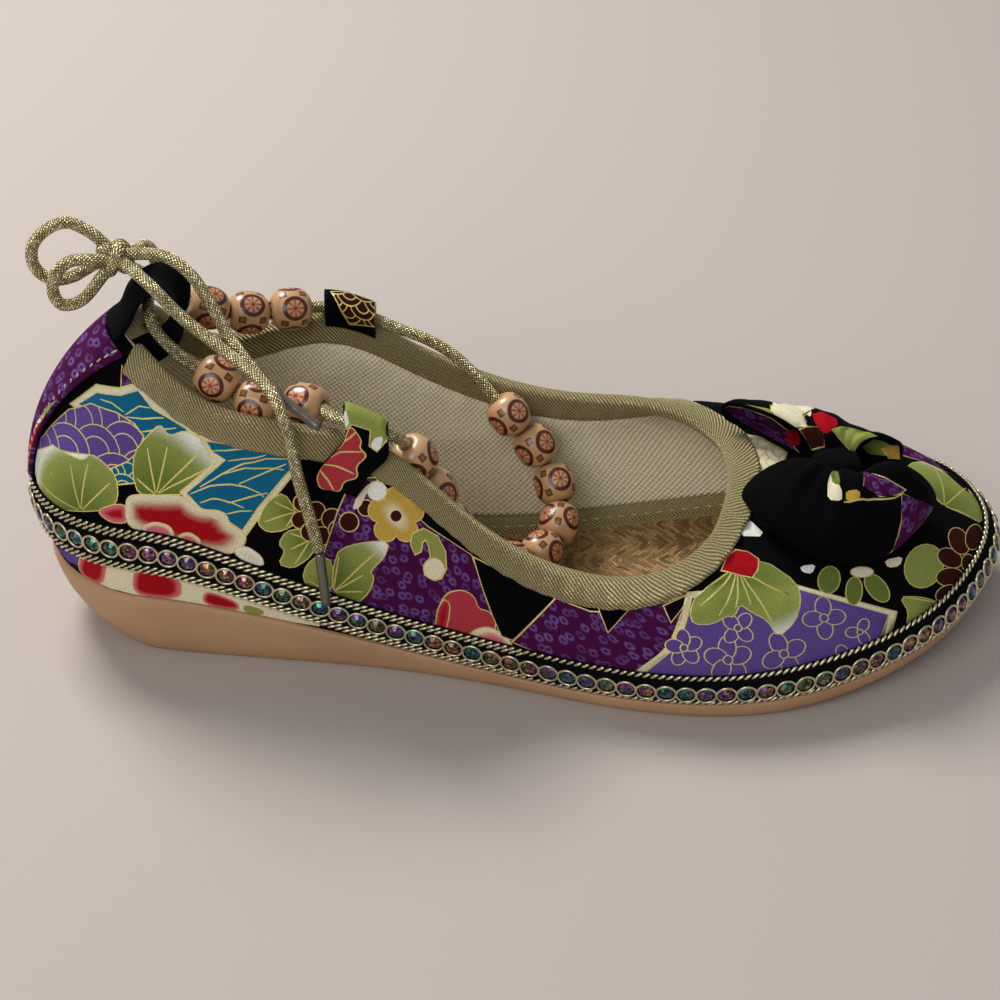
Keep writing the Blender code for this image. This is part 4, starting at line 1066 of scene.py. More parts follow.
class Cloth:
    """A printed cloth: its place in space, its local scale and the patches of its print, last on top."""

    def __init__(self, place, scale):
        self.place = place
        self.scale = scale
        self.patches = []
        a, b = np.meshgrid(np.linspace(0.004, 0.996, 97), np.linspace(0.02, 0.98, 25), indexing="ij")
        sample = np.stack([a.ravel(), b.ravel()], axis=1)
        points = place(sample)
        towards = camera_place() - points
        lean = ((place(sample, 0.2) - points) * towards).sum(axis=1)
        facing = lean > 0.02 * np.linalg.norm(towards, axis=1)
        self.shown = sample[facing]
        self.shown_px = in_photo(points[facing])

    def seen(self, pixels):
        """Places on the cloth that show at photo pixels."""
        px = np.atleast_2d(np.asarray(pixels, float))
        near = ((self.shown_px[None] - px[:, None]) ** 2).sum(axis=2).argmin(axis=1)
        return close_in(self.shown[near], lambda ab: in_photo(self.place(ab)), px)

    def grown(self, ring, by):
        """A ring moved out by a width in millimetres."""
        scale = self.scale(ring.mean(axis=0))
        p = ring * scale
        d = np.roll(p, -1, axis=0) - p
        n = np.stack([d[:, 1], -d[:, 0]], axis=1) / np.maximum(np.linalg.norm(d, axis=1, keepdims=True), 1e-9)
        n = n * np.sign(((p[:, 0] * np.roll(p[:, 1], -1)) - (np.roll(p[:, 0], -1) * p[:, 1])).sum())
        m = n + np.roll(n, 1, axis=0)
        m = m / np.maximum((m * m).sum(axis=1, keepdims=True) / 2.0, 0.5)
        return (p + m * by) / scale

    def on_photo(self, pixel):
        """Sets outlines in millimetres at a photo pixel, as the photo shows them."""
        return lambda outline: self.seen(np.asarray(pixel) + np.asarray(outline) * (PX_PER_MM, -PX_PER_MM))

    def on_cloth(self, at):
        """Sets outlines in millimetres at a place, along the cloth's own threads."""
        return lambda outline: np.asarray(at) + np.asarray(outline) / self.scale(at)

    def lay(self, ring, paint, finish=PLAIN, within=None, loops=(), line=0.0):
        """One patch on top of the others, with a gold line round it if it has a line width."""
        ring = np.clip(ring, LOW_END, HIGH_END)
        if line:
            rim = np.clip(self.grown(ring, line), LOW_END, HIGH_END)
            self.patches.append(Patch(rim, within, GOLD, FOIL, ()))
        self.patches.append(Patch(ring, within, paint, finish, [np.clip(p, 0.001, 0.999) for p in loops]))

    def stroke(self, line, width):
        """A gold line that thins towards its ends."""
        line = np.asarray(line, float)
        scale = self.scale(line.mean(axis=0))
        p = line * scale
        d = np.gradient(p, axis=0)
        n = np.stack([d[:, 1], -d[:, 0]], axis=1) / np.maximum(np.linalg.norm(d, axis=1, keepdims=True), 1e-9)
        t = np.linspace(0.0, 1.0, len(p))
        w = width / 2 * (TAPER + (1.0 - TAPER) * np.sin(math.pi * np.clip(t, 0.03, 0.97)) ** 0.5)
        ring = np.concatenate([p + n * w[:, None], (p - n * w[:, None])[::-1]]) / scale
        self.lay(ring, GOLD, FOIL)

    def petal(self, ring, core, rim, deep):
        """A petal that pales from its core to its edge."""
        scale = self.scale(ring.mean(axis=0))
        flat = ring * scale
        loops = [self.grown(ring, -deep * k) for k in (0.35, 0.75, 1.1)]

        def paint(ab):
            return blend(rim, core, soft_step(0.15 * deep, deep, edge_distance(ab * scale, flat)))

        self.lay(ring, paint, loops=loops, line=LINE)

    def leaf(self, rings, veins, pale=0.66):
        """A leaf whose rings close in on its base, pale at the tips, with gold veins."""
        base = rings[-1].mean(axis=0)
        scale = self.scale(base)
        reach = np.linalg.norm((rings[0] - base) * scale, axis=1).max()

        def paint(ab):
            far = np.linalg.norm((ab - base) * scale, axis=1) / reach
            body = blend(OLIVE, GREEN, soft_step(0.75, 0.1, far))
            return blend(body, WHITE, soft_step(pale, pale + 0.3, far))

        self.lay(rings[0], paint, loops=rings[1:-1], line=FINE_LINE)
        for vein in veins:
            self.stroke(vein, 0.42)

    def waves(self, ring, paint, radius):
        """A field of overlapping round waves with gold lines."""
        self.lay(ring, paint, line=0.35)
        scale = self.scale(ring.mean(axis=0))
        p = ring * scale
        low, high = p.min(axis=0), p.max(axis=0)
        row = 0
        y = high[1] + radius * 0.2
        while y > low[1] - radius:
            x = low[0] + (radius if row % 2 else 0.0)
            while x < high[0] + radius:
                for size in (1.0, 0.58):
                    for shrink, tone, gloss in ((0.0, GOLD, FOIL), (WAVE_LINE, paint, PLAIN)):
                        disc = (np.array([x, y]) + circle(radius * size - shrink)) / scale
                        self.lay(disc, tone, gloss, within=ring)
                x += radius * 2
            y -= radius * 0.62
            row += 1

    def flower(self, spot, radius, number, paint):
        """A round flower with a pale middle and a dark heart."""
        at = spot(np.zeros((1, 2)))[0]
        scale = self.scale(at)
        rings = [spot(petals(radius * k, number, 0.34)) for k in (1.0, 0.7, 0.4)]

        def fade(ab):
            far = np.linalg.norm((ab - at) * scale, axis=1) / radius
            return blend(CREAM, paint, soft_step(0.1, 0.6, far))

        self.lay(rings[0], fade, loops=rings[1:], line=LINE)
        self.lay(spot(circle(radius * 0.2, 14)), BROWN)


def cut(cloth, size, cells):
    """Triangles of a cloth cut along its print: places, corner numbers and the patch of each."""
    na, nb = cells
    a, b = np.meshgrid(np.linspace(0.0, 1.0, na + 1), np.linspace(0.0, 1.0, nb + 1), indexing="ij")
    points = [np.stack([a.ravel(), b.ravel()], axis=1)]
    edges = []
    total = len(points[0])
    for patch in cloth.patches:
        for ring in (patch.ring, *patch.loops):
            count = len(ring)
            points.append(ring)
            edges += [(total + k, total + (k + 1) % count) for k in range(count)]
            total += count
    flat = np.concatenate(points) * np.asarray(size)
    verts, _, faces, _, _, _ = delaunay_2d_cdt(flat.tolist(), edges, [], 0, 1e-4, False)
    ab = np.array([tuple(v) for v in verts]) / np.asarray(size)
    tris = np.array(faces)
    middle = ab[tris].mean(axis=1)
    owner = np.full(len(tris), -1)
    for number, patch in enumerate(cloth.patches):
        low, high = patch.ring.min(axis=0), patch.ring.max(axis=0)
        near = np.flatnonzero(((middle >= low) & (middle <= high)).all(axis=1))
        near = near[inside(middle[near], patch.ring)]
        if patch.within is not None:
            near = near[inside(middle[near], patch.within)]
        owner[near] = number
    return ab, tris, owner


def printed(name, cloth, size, cells, thick, threads_at, mats, closed=False, ground=BLACK,
            ground_finish=PLAIN):
    """A printed cloth of even thickness, cut along its print, with the same cut on its back."""
    ab, tris, owner = cut(cloth, size, cells)
    count = len(ab)
    front = cloth.place(ab)
    back = cloth.place(ab, -thick)
    faces = [tuple(t) for t in tris] + [tuple(t[::-1] + count) for t in tris]
    sides = [(0.0, 1), (1.0, 1)] + ([] if closed else [(0.0, 0), (1.0, 0)])
    for level, axis in sides:
        edge = np.flatnonzero(np.abs(ab[:, axis] - level) < 1e-5)
        edge = edge[np.argsort(ab[edge, 1 - axis])]
        faces += [(i, j, j + count, i + count) for i, j in zip(edge[:-1], edge[1:])]
    tint = np.tile(np.asarray(ground), (len(tris) * 3, 1))
    finish = np.full(len(tris) * 3, ground_finish)
    for number, patch in enumerate(cloth.patches):
        mine = np.flatnonzero(owner == number)
        spot = (mine[:, None] * 3 + np.arange(3)).ravel()
        tint[spot] = patch.paint(ab[tris[mine].ravel()]) if callable(patch.paint) else np.asarray(patch.paint)
        finish[spot] = patch.finish
    rest = (len(faces) - 2 * len(tris)) * 4
    tint = np.concatenate([tint, tint.reshape(-1, 3, 3)[:, ::-1].reshape(-1, 3),
                           np.tile(np.asarray(ground), (rest, 1))])
    finish = np.concatenate([finish, finish.reshape(-1, 3)[:, ::-1].ravel(), np.full(rest, ground_finish)])
    which = np.zeros(len(faces), int)
    which[len(tris):] = len(mats) - 1
    uv = np.concatenate([threads_at(ab), threads_at(ab)])
    return make(name, np.concatenate([front, back]), faces, mats, uv=uv, tint=tint, finish=finish,
                which=which)


def grid_cloth(grid, thick):
    """A cloth laid on a grid of middle points: across is its first coordinate, along its second."""
    g = np.asarray(grid, float)
    n, m = g.shape[:2]
    normal = np.cross(np.gradient(g, axis=1), np.gradient(g, axis=0))
    normal /= np.linalg.norm(normal, axis=2, keepdims=True)
    wide = np.linalg.norm(np.diff(g[n // 2], axis=0), axis=1).sum()
    long = np.linalg.norm(np.diff(g[:, m // 2], axis=0), axis=1).sum()

    def place(ab, out=0.0):
        i = np.clip(ab[:, 1], 0.0, 1.0) * (n - 1)
        j = np.clip(ab[:, 0], 0.0, 1.0) * (m - 1)
        i0 = np.minimum(i.astype(int), n - 2)
        j0 = np.minimum(j.astype(int), m - 2)
        s = (i - i0)[:, None]
        t = (j - j0)[:, None]
        parts = []
        for field in (g, normal):
            low = field[i0, j0] * (1 - t) + field[i0, j0 + 1] * t
            high = field[i0 + 1, j0] * (1 - t) + field[i0 + 1, j0 + 1] * t
            parts.append(low * (1 - s) + high * s)
        return parts[0] + parts[1] * (thick / 2 + out)

    size = np.array([wide, long])
    return Cloth(place, lambda ab: size), size


def lay_photo(cloth, rows):
    """Lays rows placed by photo pixels."""
    for row in rows:
        lay_print(cloth, row, cloth.seen(row.pixels), cloth.on_photo(row.pixels[0]))


def creases(u, along):
    """Height of the upper's creases and of the puckers below the binding."""
    at = cloth_uv(u, along)
    whole = rib_long(u)
    height = np.zeros(len(u))
    for crease in CREASES:
        ends = np.array([crease.start, crease.end])
        start, end = cloth_uv(ends[:, 0], ends[:, 1] * rib_long(ends[:, 0]))
        run = end - start
        t = np.clip((at - start) @ run / (run @ run), 0.0, 1.0)
        away = np.linalg.norm(at - start - t[:, None] * run, axis=1)
        height += crease.depth * np.exp(-((away / crease.half) ** 2))
    left = whole - along
    pucker = PUCKER_DEEP * np.sin(at[:, 0] * TURN / PUCKER_PITCH) * soft_step(16.0, 7.0, left)
    free = soft_step(trim_edges(u)[1], trim_edges(u)[1] + 6.0, along) * soft_step(1.0, 6.0, left)
    return (height + pucker) * free


def upper_cloth(ab, out=0.0):
    """Points on the creased upper."""
    u = ab[:, 0] * ROUND
    along = ab[:, 1] * rib_long(u)
    return off_last(u, along, creases(u, along) + out)


def upper_scale(ab):
    """Millimetres to one unit of the upper's coordinates."""
    u = np.array([ab[0] * ROUND])
    whole = rib_long(u)
    return np.array([float(row_width(u, ab[1] * whole)[0]) * ROUND, float(whole[0])])


Print = namedtuple("Print", "name kind pixels size turn paint", defaults=((), 0.0, None))

TEAL_HIGH = ((79, 404), (97, 393), (120, 396), (138, 391), (152, 409), (187, 430), (171, 440), (144, 438),
             (116, 417), (91, 409))
TEAL_MID = ((207, 442), (213, 452), (226, 460), (187, 493), (200, 507), (226, 519), (242, 530), (258, 507),
            (284, 476), (293, 466), (290, 456), (280, 450), (240, 446))
TEAL_HIGH_LINES = (
    ((100, 399), (112, 403), (124, 412)),
    ((125, 415), (139, 406), (150, 408)),
    ((126, 417), (144, 419), (164, 418)),
    ((141, 432), (156, 430), (176, 428)))
TEAL_MID_LINES = (
    ((212, 451), (232, 450), (253, 449), (284, 455)),
    ((228, 461), (244, 459), (266, 455)),
    ((200, 487), (222, 474), (242, 464), (268, 458), (289, 459)),
    ((224, 474), (246, 468), (268, 468), (284, 470)),
    ((190, 494), (212, 485), (238, 484), (258, 492), (264, 497)),
    ((239, 484), (262, 474), (286, 464)),
    ((200, 503), (214, 498), (230, 502), (244, 508)),
    ((228, 503), (250, 497), (268, 493)),
    ((226, 514), (240, 511), (252, 511)))
BERRIES = (
    ((302, 503), 2.1), ((316, 511), 2.3), ((332, 519), 2.6), ((300, 520), 2.1), ((310, 532), 2.3),
    ((322, 536), 2.3), ((338, 530), 2.4),
)
BERRIES_ON_DYED = (
    ((349, 522), 2.4), ((366, 508), 2.0),
)
BLOOMS = (
    ((728, 660), (5.4, 5)), ((684, 648), (4.2, 5)), ((784, 654), (5.2, 4)), ((824, 618), (4.8, 4)),
    ((860, 632), (3.2, 3)), ((846, 660), (3.6, 4)), ((738, 628), (4.0, 4)),
)
FAN = (
    ((950, 558), (4.6, 6.6), -62.0), ((959, 541), (4.8, 7.2), -25.0), ((974, 537), (4.2, 6.6), 12.0),
    ((950, 577), (4.6, 7.0), 85.0), ((948, 594), (4.4, 6.4), 70.0), ((968, 563), (3.2, 4.4), 0.0),
)
VIOLET_TOE = ((643, 674), (692, 598), (760, 590), (800, 590), (888, 615), (872, 655), (800, 672), (720, 678))

# The print on the side that shows, bottom layer first, placed by photo pixels; sizes in millimetres.
PRINT = (
    Print("dyed_corner", "dyed", ((122, 366), (138, 387), (122, 389))),
    Print("teal_high_border", "border", TEAL_HIGH, (1.6,), paint=CREAM),
    Print("teal_high", "plain", TEAL_HIGH, paint=TEAL),
    *(Print("teal_high_line", "line", path, (0.38,)) for path in TEAL_HIGH_LINES),
    Print("white_heel", "flat", ((30, 470), (40, 442), (60, 430), (110, 455), (90, 480), (34, 485)),
        paint=WHITE),
    Print("violet_high", "waves", ((34, 452), (44, 436), (60, 418), (69, 410), (91, 404), (116, 413),
        (134, 424), (143, 436), (139, 449), (128, 462), (112, 469), (98, 460), (89, 454), (72, 452),
        (50, 446)), (7.4,), paint=VIOLET),
    Print("teal_gap", "waves", ((112, 469), (128, 462), (140, 450), (140, 482), (118, 484)), (4.0,),
        paint=TEAL),
    Print("white_gap", "flat", ((143, 440), (171, 440), (190, 433), (226, 460), (190, 492), (160, 470)),
        paint=WHITE),
    Print("leaf_heel", "leaf", ((81, 511), (41, 502), (36, 473), (49, 442), (70, 456), (83, 461), (91, 454),
        (104, 463), (116, 477), (118, 498), (110, 509)), (0.72,)),
    Print("leaf_side", "leaf", ((156, 495), (139, 494), (133, 475), (135, 452), (146, 438), (160, 424),
        (169, 437), (186, 431), (211, 440), (208, 452), (224, 460), (204, 479), (186, 494)), (0.62,)),
    Print("teal_mid_border", "border", TEAL_MID, (1.2,), paint=CREAM),
    Print("teal_mid", "plain", TEAL_MID, paint=TEAL),
    *(Print("teal_mid_line", "line", path, (0.42,)) for path in TEAL_MID_LINES),
    Print("peony_petal_left", "petal", ((97, 511), (112, 505), (126, 505), (128, 523), (110, 522)), (1.8,),
        paint=(RED, PINK)),
    Print("peony", "petal", ((126, 512), (127, 498), (136, 495), (163, 496), (183, 496), (198, 510),
        (224, 511), (230, 526), (245, 533), (244, 545), (229, 555), (192, 550), (150, 537), (128, 525)),
        (3.6,), paint=(RED, CREAM)),
    Print("peony_low_1", "petal", ((140, 528), (154, 522), (170, 526), (175, 538), (152, 537)), (1.2,),
        paint=(PINK, CREAM)),
    Print("peony_low_2", "petal", ((176, 537), (188, 532), (200, 539), (200, 549), (184, 547)), (1.1,),
        paint=(PINK, CREAM)),
    Print("peony_petal_right", "petal", ((232, 550), (246, 546), (261, 556), (264, 566), (246, 563)),
        (1.4,), paint=(CREAM, WHITE)),
    Print("leaf_small_1", "leaf", ((296, 512), (284, 493), (270, 500), (262, 512), (258, 524), (268, 532),
        (284, 530), (297, 522)), (1.2,)),
    Print("leaf_small_2", "leaf", ((310, 540), (300, 529), (286, 532), (279, 544), (286, 551), (279, 564),
        (292, 568), (306, 560), (314, 550)), (1.2,)),
    *(Print("berry", "disc", (at,), (size,), paint=BROWN) for at, size in BERRIES),
    Print("dyed_side", "dyed", ((322, 560), (338, 512), (352, 480), (375, 478), (428, 527), (471, 555),
        (487, 596), (503, 640), (440, 640), (376, 618), (330, 600))),
    *(Print("berry", "disc", (at,), (size,), paint=BROWN) for at, size in BERRIES_ON_DYED),
    Print("cream_line", "flat", ((352, 510), (356, 498), (368, 484), (376, 482), (366, 494), (360, 508)),
        paint=CREAM),
    Print("plum", "flower", ((396, 516),), (7.4, 5), paint=YELLOW),
    Print("plum_bud", "disc", ((377, 491),), (2.4,), paint=WHITE),
    Print("curl", "plain", ((411, 545), (413, 534), (424, 529), (437, 536), (445, 551), (446, 568),
        (441, 578), (434, 580), (425, 575), (424, 566), (431, 558), (429, 547), (426, 539), (422, 542),
        (421, 551), (415, 554)), paint=OLIVE),
    Print("curl_tip", "disc", ((434, 569),), (2.6,), paint=CREAM),
    Print("leaf_loop_left", "leaf", ((331, 593), (312, 592), (303, 578), (307, 565), (318, 556),
        (333, 562)), (1.0,)),
    Print("leaf_loop", "leaf", ((333, 592), (334, 566), (340, 549), (369, 542), (389, 542), (384, 557),
        (369, 572), (374, 577), (369, 592), (357, 603)), (0.7,)),
    Print("heart_petal_low", "petal", ((428, 632), (436, 622), (448, 628), (446, 638)), (1.2,),
        paint=(PINK, CREAM)),
    Print("heart", "petal", ((436, 636), (437, 612), (446, 594), (462, 590), (474, 596), (478, 609),
        (490, 612), (496, 622), (492, 636), (470, 646)), (3.0,), paint=(CORAL, CORAL)),
    Print("heart_lobe", "petal", ((436, 634), (437, 612), (444, 599), (450, 604), (448, 620), (444, 634)),
        (1.2,), paint=(RED, CORAL)),
    Print("heart_petal", "petal", ((462, 644), (474, 630), (490, 627), (506, 636), (514, 648), (490, 654)),
        (2.4,), paint=(PINK, CREAM)),
    Print("black_fold", "plain", ((474, 558), (556, 599), (513, 640), (502, 636)), paint=BLACK),
    Print("dyed_front", "dyed", ((556, 599), (590, 612), (640, 608), (668, 602), (690, 594), (640, 674),
        (560, 662), (513, 642))),
    Print("black_notch", "plain", ((599, 607), (608, 632), (628, 610)), paint=BLACK),
    Print("black_corner", "plain", ((664, 606), (690, 594), (671, 622)), paint=BLACK),
    Print("violet_toe_border", "border", VIOLET_TOE, (1.5,), paint=CREAM),
    Print("violet_toe", "plain", VIOLET_TOE, paint=VIOLET),
    *(Print("bloom", "bloom", (at,), size) for at, size in BLOOMS),
    Print("leaf_front", "leaf", ((736, 566), (697, 594), (690, 612), (694, 624), (712, 624), (727, 615),
        (733, 617), (740, 603), (752, 612), (768, 620), (778, 637), (794, 622), (800, 600), (796, 582),
        (764, 560)), (0.74,)),
    Print("red_bit", "plain", ((722, 570), (727, 558), (736, 550), (748, 552), (758, 559), (757, 570),
        (752, 577)), paint=RED),
    Print("white_tip", "flat", ((733, 514), (748, 518), (767, 536), (738, 537)), paint=WHITE),
    Print("scales", "waves", ((742, 432), (765, 440), (786, 452), (774, 480), (752, 488), (746, 460)),
        (4.4,), paint=CREAM),
    Print("stem_white", "flat", ((800, 566), (816, 564), (812, 574), (802, 572)), paint=WHITE),
    Print("leaf_line_1", "oval", ((829, 580),), (5.4, 7.0), 12.0, GREEN),
    Print("leaf_line_2", "oval", ((854, 591),), (4.0, 7.2), 4.0, GREEN),
    Print("leaf_line_3", "oval", ((877, 588),), (4.6, 8.4), -38.0, GREEN),
    Print("bud_line", "oval", ((862, 572),), (5.6, 2.6), 0.0, CREAM),
    Print("bud_toe", "flat", ((884, 560), (903, 556), (900, 566), (888, 568)), paint=CREAM),
    Print("leaf_toe_1", "oval", ((924, 566),), (9.6, 11.6), 25.0, OLIVE),
    *(Print("fan", "oval", (at,), size, turn, BROWN) for at, size, turn in FAN),
    Print("leaf_toe_3", "leaf", ((942, 604), (920, 597), (900, 597), (909, 612), (906, 628), (930, 622)),
        (1.2,)),
    Print("leaf_toe_2", "leaf", ((944, 506), (929, 489), (908, 478), (908, 464), (930, 462), (955, 470),
        (972, 485), (980, 505), (981, 524), (968, 514)), (0.8,)),
    Print("dot_toe", "disc", ((899, 479),), (2.0,), paint=CREAM),
    Print("rand_violet", "flat", ((56, 546), (84, 554), (82, 570), (58, 561)), paint=VIOLET),
    Print("rand_cream", "flat", ((84, 552), (130, 563), (200, 585), (320, 620), (320, 636), (200, 612),
        (120, 594), (82, 574)), paint=CREAM),
    Print("rand_red_1", "petal", ((84, 550), (110, 556), (106, 590), (80, 574)), (1.6,), paint=(RED, PINK)),
    Print("rand_red_2", "petal", ((136, 564), (182, 577), (182, 608), (134, 598)), (1.6,),
        paint=(RED, PINK)),
    Print("rand_red_3", "petal", ((205, 590), (238, 602), (240, 618), (203, 608)), (1.0,),
        paint=(RED, PINK)),
    Print("rand_olive", "flat", ((244, 604), (264, 610), (264, 622), (244, 618)), paint=OLIVE),
)

# The side that the photo doesn't show: places are rib rows and shares of a rib's length.
PRINT_FAR = (
    Print("far_dyed_toe", "dyed", ((12.6, 0.2), (14.2, 0.2), (14.8, 0.5), (13.6, 0.62), (12.7, 0.5))),
    Print("far_leaf_toe", "lobed", ((15.2, 0.28),), (20.0, 18.0), 12.0),
    Print("far_violet_ball", "waves", ((15.4, 0.34), (17.0, 0.3), (17.4, 0.7), (16.2, 0.8), (15.5, 0.66)),
        (7.4,), paint=VIOLET),
    Print("far_peony", "petal", ((17.0, 0.34), (17.6, 0.28), (18.2, 0.34), (18.5, 0.5), (18.1, 0.66),
        (17.5, 0.62), (17.0, 0.52)), (2.4,), paint=(RED, CREAM)),
    Print("far_peony_fold", "petal", ((17.3, 0.4), (17.8, 0.36), (18.1, 0.46), (17.8, 0.56), (17.4, 0.52)),
        (2.0,), paint=(RED, PINK)),
    Print("far_dyed_waist", "dyed", ((18.6, 0.26), (20.2, 0.28), (20.6, 0.6), (19.8, 0.84), (18.7, 0.76))),
    Print("far_plum", "flower", ((19.4, 0.6),), (7.0, 5), paint=YELLOW),
    Print("far_leaf_waist", "lobed", ((19.2, 0.3),), (16.0, 16.0), -18.0),
    Print("far_teal", "waves", ((20.7, 0.4), (21.7, 0.36), (22.1, 0.6), (21.6, 0.8), (20.8, 0.74)), (9.0,),
        paint=TEAL),
    Print("far_leaf_heel", "lobed", ((22.0, 0.34),), (20.0, 18.0), 8.0),
    Print("far_dyed_heel", "dyed", ((22.4, 0.5), (23.6, 0.46), (23.7, 0.8), (22.7, 0.82))),
    Print("far_rand_red", "plain", ((20.4, 0.02), (22.4, 0.02), (22.4, 0.14), (20.4, 0.06)), paint=RED),
)


# Prints of the small pieces, placed by photo pixels in the same way.
PRINT_LOOP = {
    "side_loop_lateral": (
        Print("loop_leaf", "plain", ((331, 426), (343, 398), (394, 410), (386, 440), (377, 451), (370, 446),
            (371, 430), (352, 424)), paint=OLIVE),
        Print("loop_leaf_white", "flat", ((331, 426), (336, 412), (346, 410), (350, 423)), paint=WHITE),
        Print("loop_leaf_tip", "flat", ((384, 436), (378, 452), (370, 446), (374, 438)), paint=WHITE),
        Print("loop_fan", "petal", ((322, 436), (350, 425), (361, 440), (358, 448), (367, 456), (355, 466),
            (358, 478), (343, 481), (337, 497), (318, 494), (308, 474)), (1.0,), paint=(CORAL, CORAL)),
        Print("loop_fan_1", "line", ((322, 447), (338, 441), (356, 432)), (0.5,)),
        Print("loop_fan_2", "line", ((320, 456), (340, 452), (362, 452)), (0.5,)),
        Print("loop_fan_3", "line", ((320, 464), (336, 466), (354, 474)), (0.5,)),
        Print("loop_fan_4", "line", ((319, 470), (328, 480), (334, 492)), (0.5,)),
    ),
    "side_loop_medial": (
        Print("far_loop_scales", "waves", ((332, 292), (378, 297), (378, 328), (350, 324)), (3.6,),
            paint=BROWN),
    ),
}
PRINT_STRIP = (
    Print("strip_leaf", "flat", ((36, 428), (44, 410), (58, 402), (64, 410), (48, 436), (36, 440)),
        paint=OLIVE),
    Print("strip_cream", "flat", ((34, 430), (38, 420), (44, 414), (44, 432), (36, 440)), paint=CREAM),
    Print("strip_red", "flat", ((24, 478), (30, 440), (44, 424), (50, 432), (38, 462), (34, 486)),
        paint=RED),
)
PRINT_BOW = {
    "bow_wing_lateral": (
        Print("near_dyed_high", "dyed", ((862, 471), (885, 478), (905, 490), (880, 496), (864, 486))),
        Print("near_dyed", "dyed", ((902, 494), (942, 498), (952, 508), (932, 536), (892, 562))),
        Print("near_line", "line", ((844, 502), (872, 499), (902, 494)), (0.6,)),
        Print("near_cream", "flat", ((828, 480), (833, 470), (842, 488), (842, 502), (828, 500)),
            paint=CREAM),
        Print("near_green", "flat", ((830, 470), (838, 470), (841, 486), (834, 484)), paint=GREEN),
        Print("near_olive", "flat", ((846, 490), (860, 490), (860, 499), (846, 502)), paint=YELLOW),
    ),
    "bow_wing_medial": (
        Print("far_olive", "flat", ((742, 404), (775, 410), (772, 424), (748, 416)), paint=OLIVE),
        Print("far_cream", "plain", ((775, 416), (784, 402), (800, 398), (814, 408), (806, 426),
            (790, 430)), paint=CREAM),
        Print("far_brown", "plain", ((800, 430), (822, 428), (824, 446), (800, 448)), paint=BROWN),
        Print("far_red", "flat", ((814, 410), (842, 424), (830, 434), (817, 430)), paint=RED),
        Print("far_green", "plain", ((832, 430), (850, 428), (898, 450), (872, 456), (846, 446)),
            paint=OLIVE),
    ),
}
PRINT_BOW_INSIDE = {
    "bow_wing_lateral": (),
    "bow_wing_medial": (
        Print("far_dyed", "dyed", ((704, 410), (722, 394), (744, 406), (770, 420), (794, 440), (788, 456),
            (760, 446), (735, 430))),
        Print("far_red_low", "flat", ((788, 434), (800, 430), (802, 448), (790, 450)), paint=RED),
        Print("far_green_low", "flat", ((858, 440), (880, 436), (898, 446), (892, 458), (866, 458)),
            paint=OLIVE),
        Print("far_yellow", "plain", ((884, 448), (904, 444), (902, 460), (888, 462)), paint=YELLOW),
    ),
}


def lay_print(cloth, row, at, spot):
    """Lays one row of a print table on the cloth: at holds its places, spot sets outlines at the first."""
    if row.kind == "plain":
        cloth.lay(at, row.paint, line=LINE)
    elif row.kind == "flat":
        cloth.lay(rounded(at, 1), row.paint)
    elif row.kind == "line":
        cloth.stroke(even_path(np.column_stack([at, np.zeros(len(at))]), 10)[:, :2], row.size[0])
    elif row.kind == "dyed":
        cloth.lay(at, PURPLE, DYED, line=0.35)
    elif row.kind == "border":
        cloth.lay(cloth.grown(at, row.size[0]), row.paint, line=0.4)
    elif row.kind == "waves":
        cloth.waves(at, row.paint, row.size[0])
    elif row.kind == "petal":
        cloth.petal(rounded(at), row.paint[0], row.paint[1], row.size[0])
    elif row.kind == "leaf":
        base = at[0]
        rings = [base + (rounded(at, 1) - base) * k for k in LEAF_RINGS]
        veins = [base + (p - base) * np.linspace(0.04, 0.84, 6)[:, None] for p in at[2:-1:2]]
        cloth.leaf(rings, veins, pale=row.size[0])
    elif row.kind == "lobed":
        body = LEAF * np.array(row.size)
        rings = [spot(turned(body * k, row.turn)) for k in LEAF_RINGS]
        ends = np.array(LEAF_VEINS) * np.array(row.size)
        veins = [spot(turned(np.outer(np.linspace(0.04, 1.0, 6), end), row.turn)) for end in ends]
        cloth.leaf(rings, veins)
    elif row.kind == "disc":
        cloth.lay(spot(circle(row.size[0])), row.paint, line=LINE)
    elif row.kind == "oval":
        cloth.lay(spot(turned(circle(0.5) * np.array(row.size), row.turn)), row.paint, line=FINE_LINE)
    elif row.kind == "flower":
        cloth.flower(spot, *row.size, row.paint)
    elif row.kind == "bloom":
        radius, number = row.size
        for k in range(number):
            turn = TURN * k / number + radius
            way = np.array([math.cos(turn), math.sin(turn)]) * radius * 0.6
            petal = turned(circle(radius * 0.5, 16) * np.array([0.8, 1.1]), 90.0 - math.degrees(turn))
            cloth.lay(spot(way + petal), VIOLET, line=FINE_LINE)
        cloth.lay(spot(circle(radius * 0.2, 12)), VIOLET, line=FINE_LINE)
    else:
        raise ValueError("no such print: " + row.kind)


def around_shoe(count):
    """Places u once round the shoe, evenly spaced."""
    return np.linspace(0.0, ROUND, count + 1)[:-1]


def on_grid(u, along, out):
    """Grid of points off the last; u runs down the rows, along and out are one row to each u."""
    along = np.asarray(along, float)
    out = np.broadcast_to(np.asarray(out, float), along.shape)
    flat = off_last(np.repeat(u, along.shape[1]), along.ravel(), out.ravel())
    return flat.reshape(along.shape[0], along.shape[1], 3)


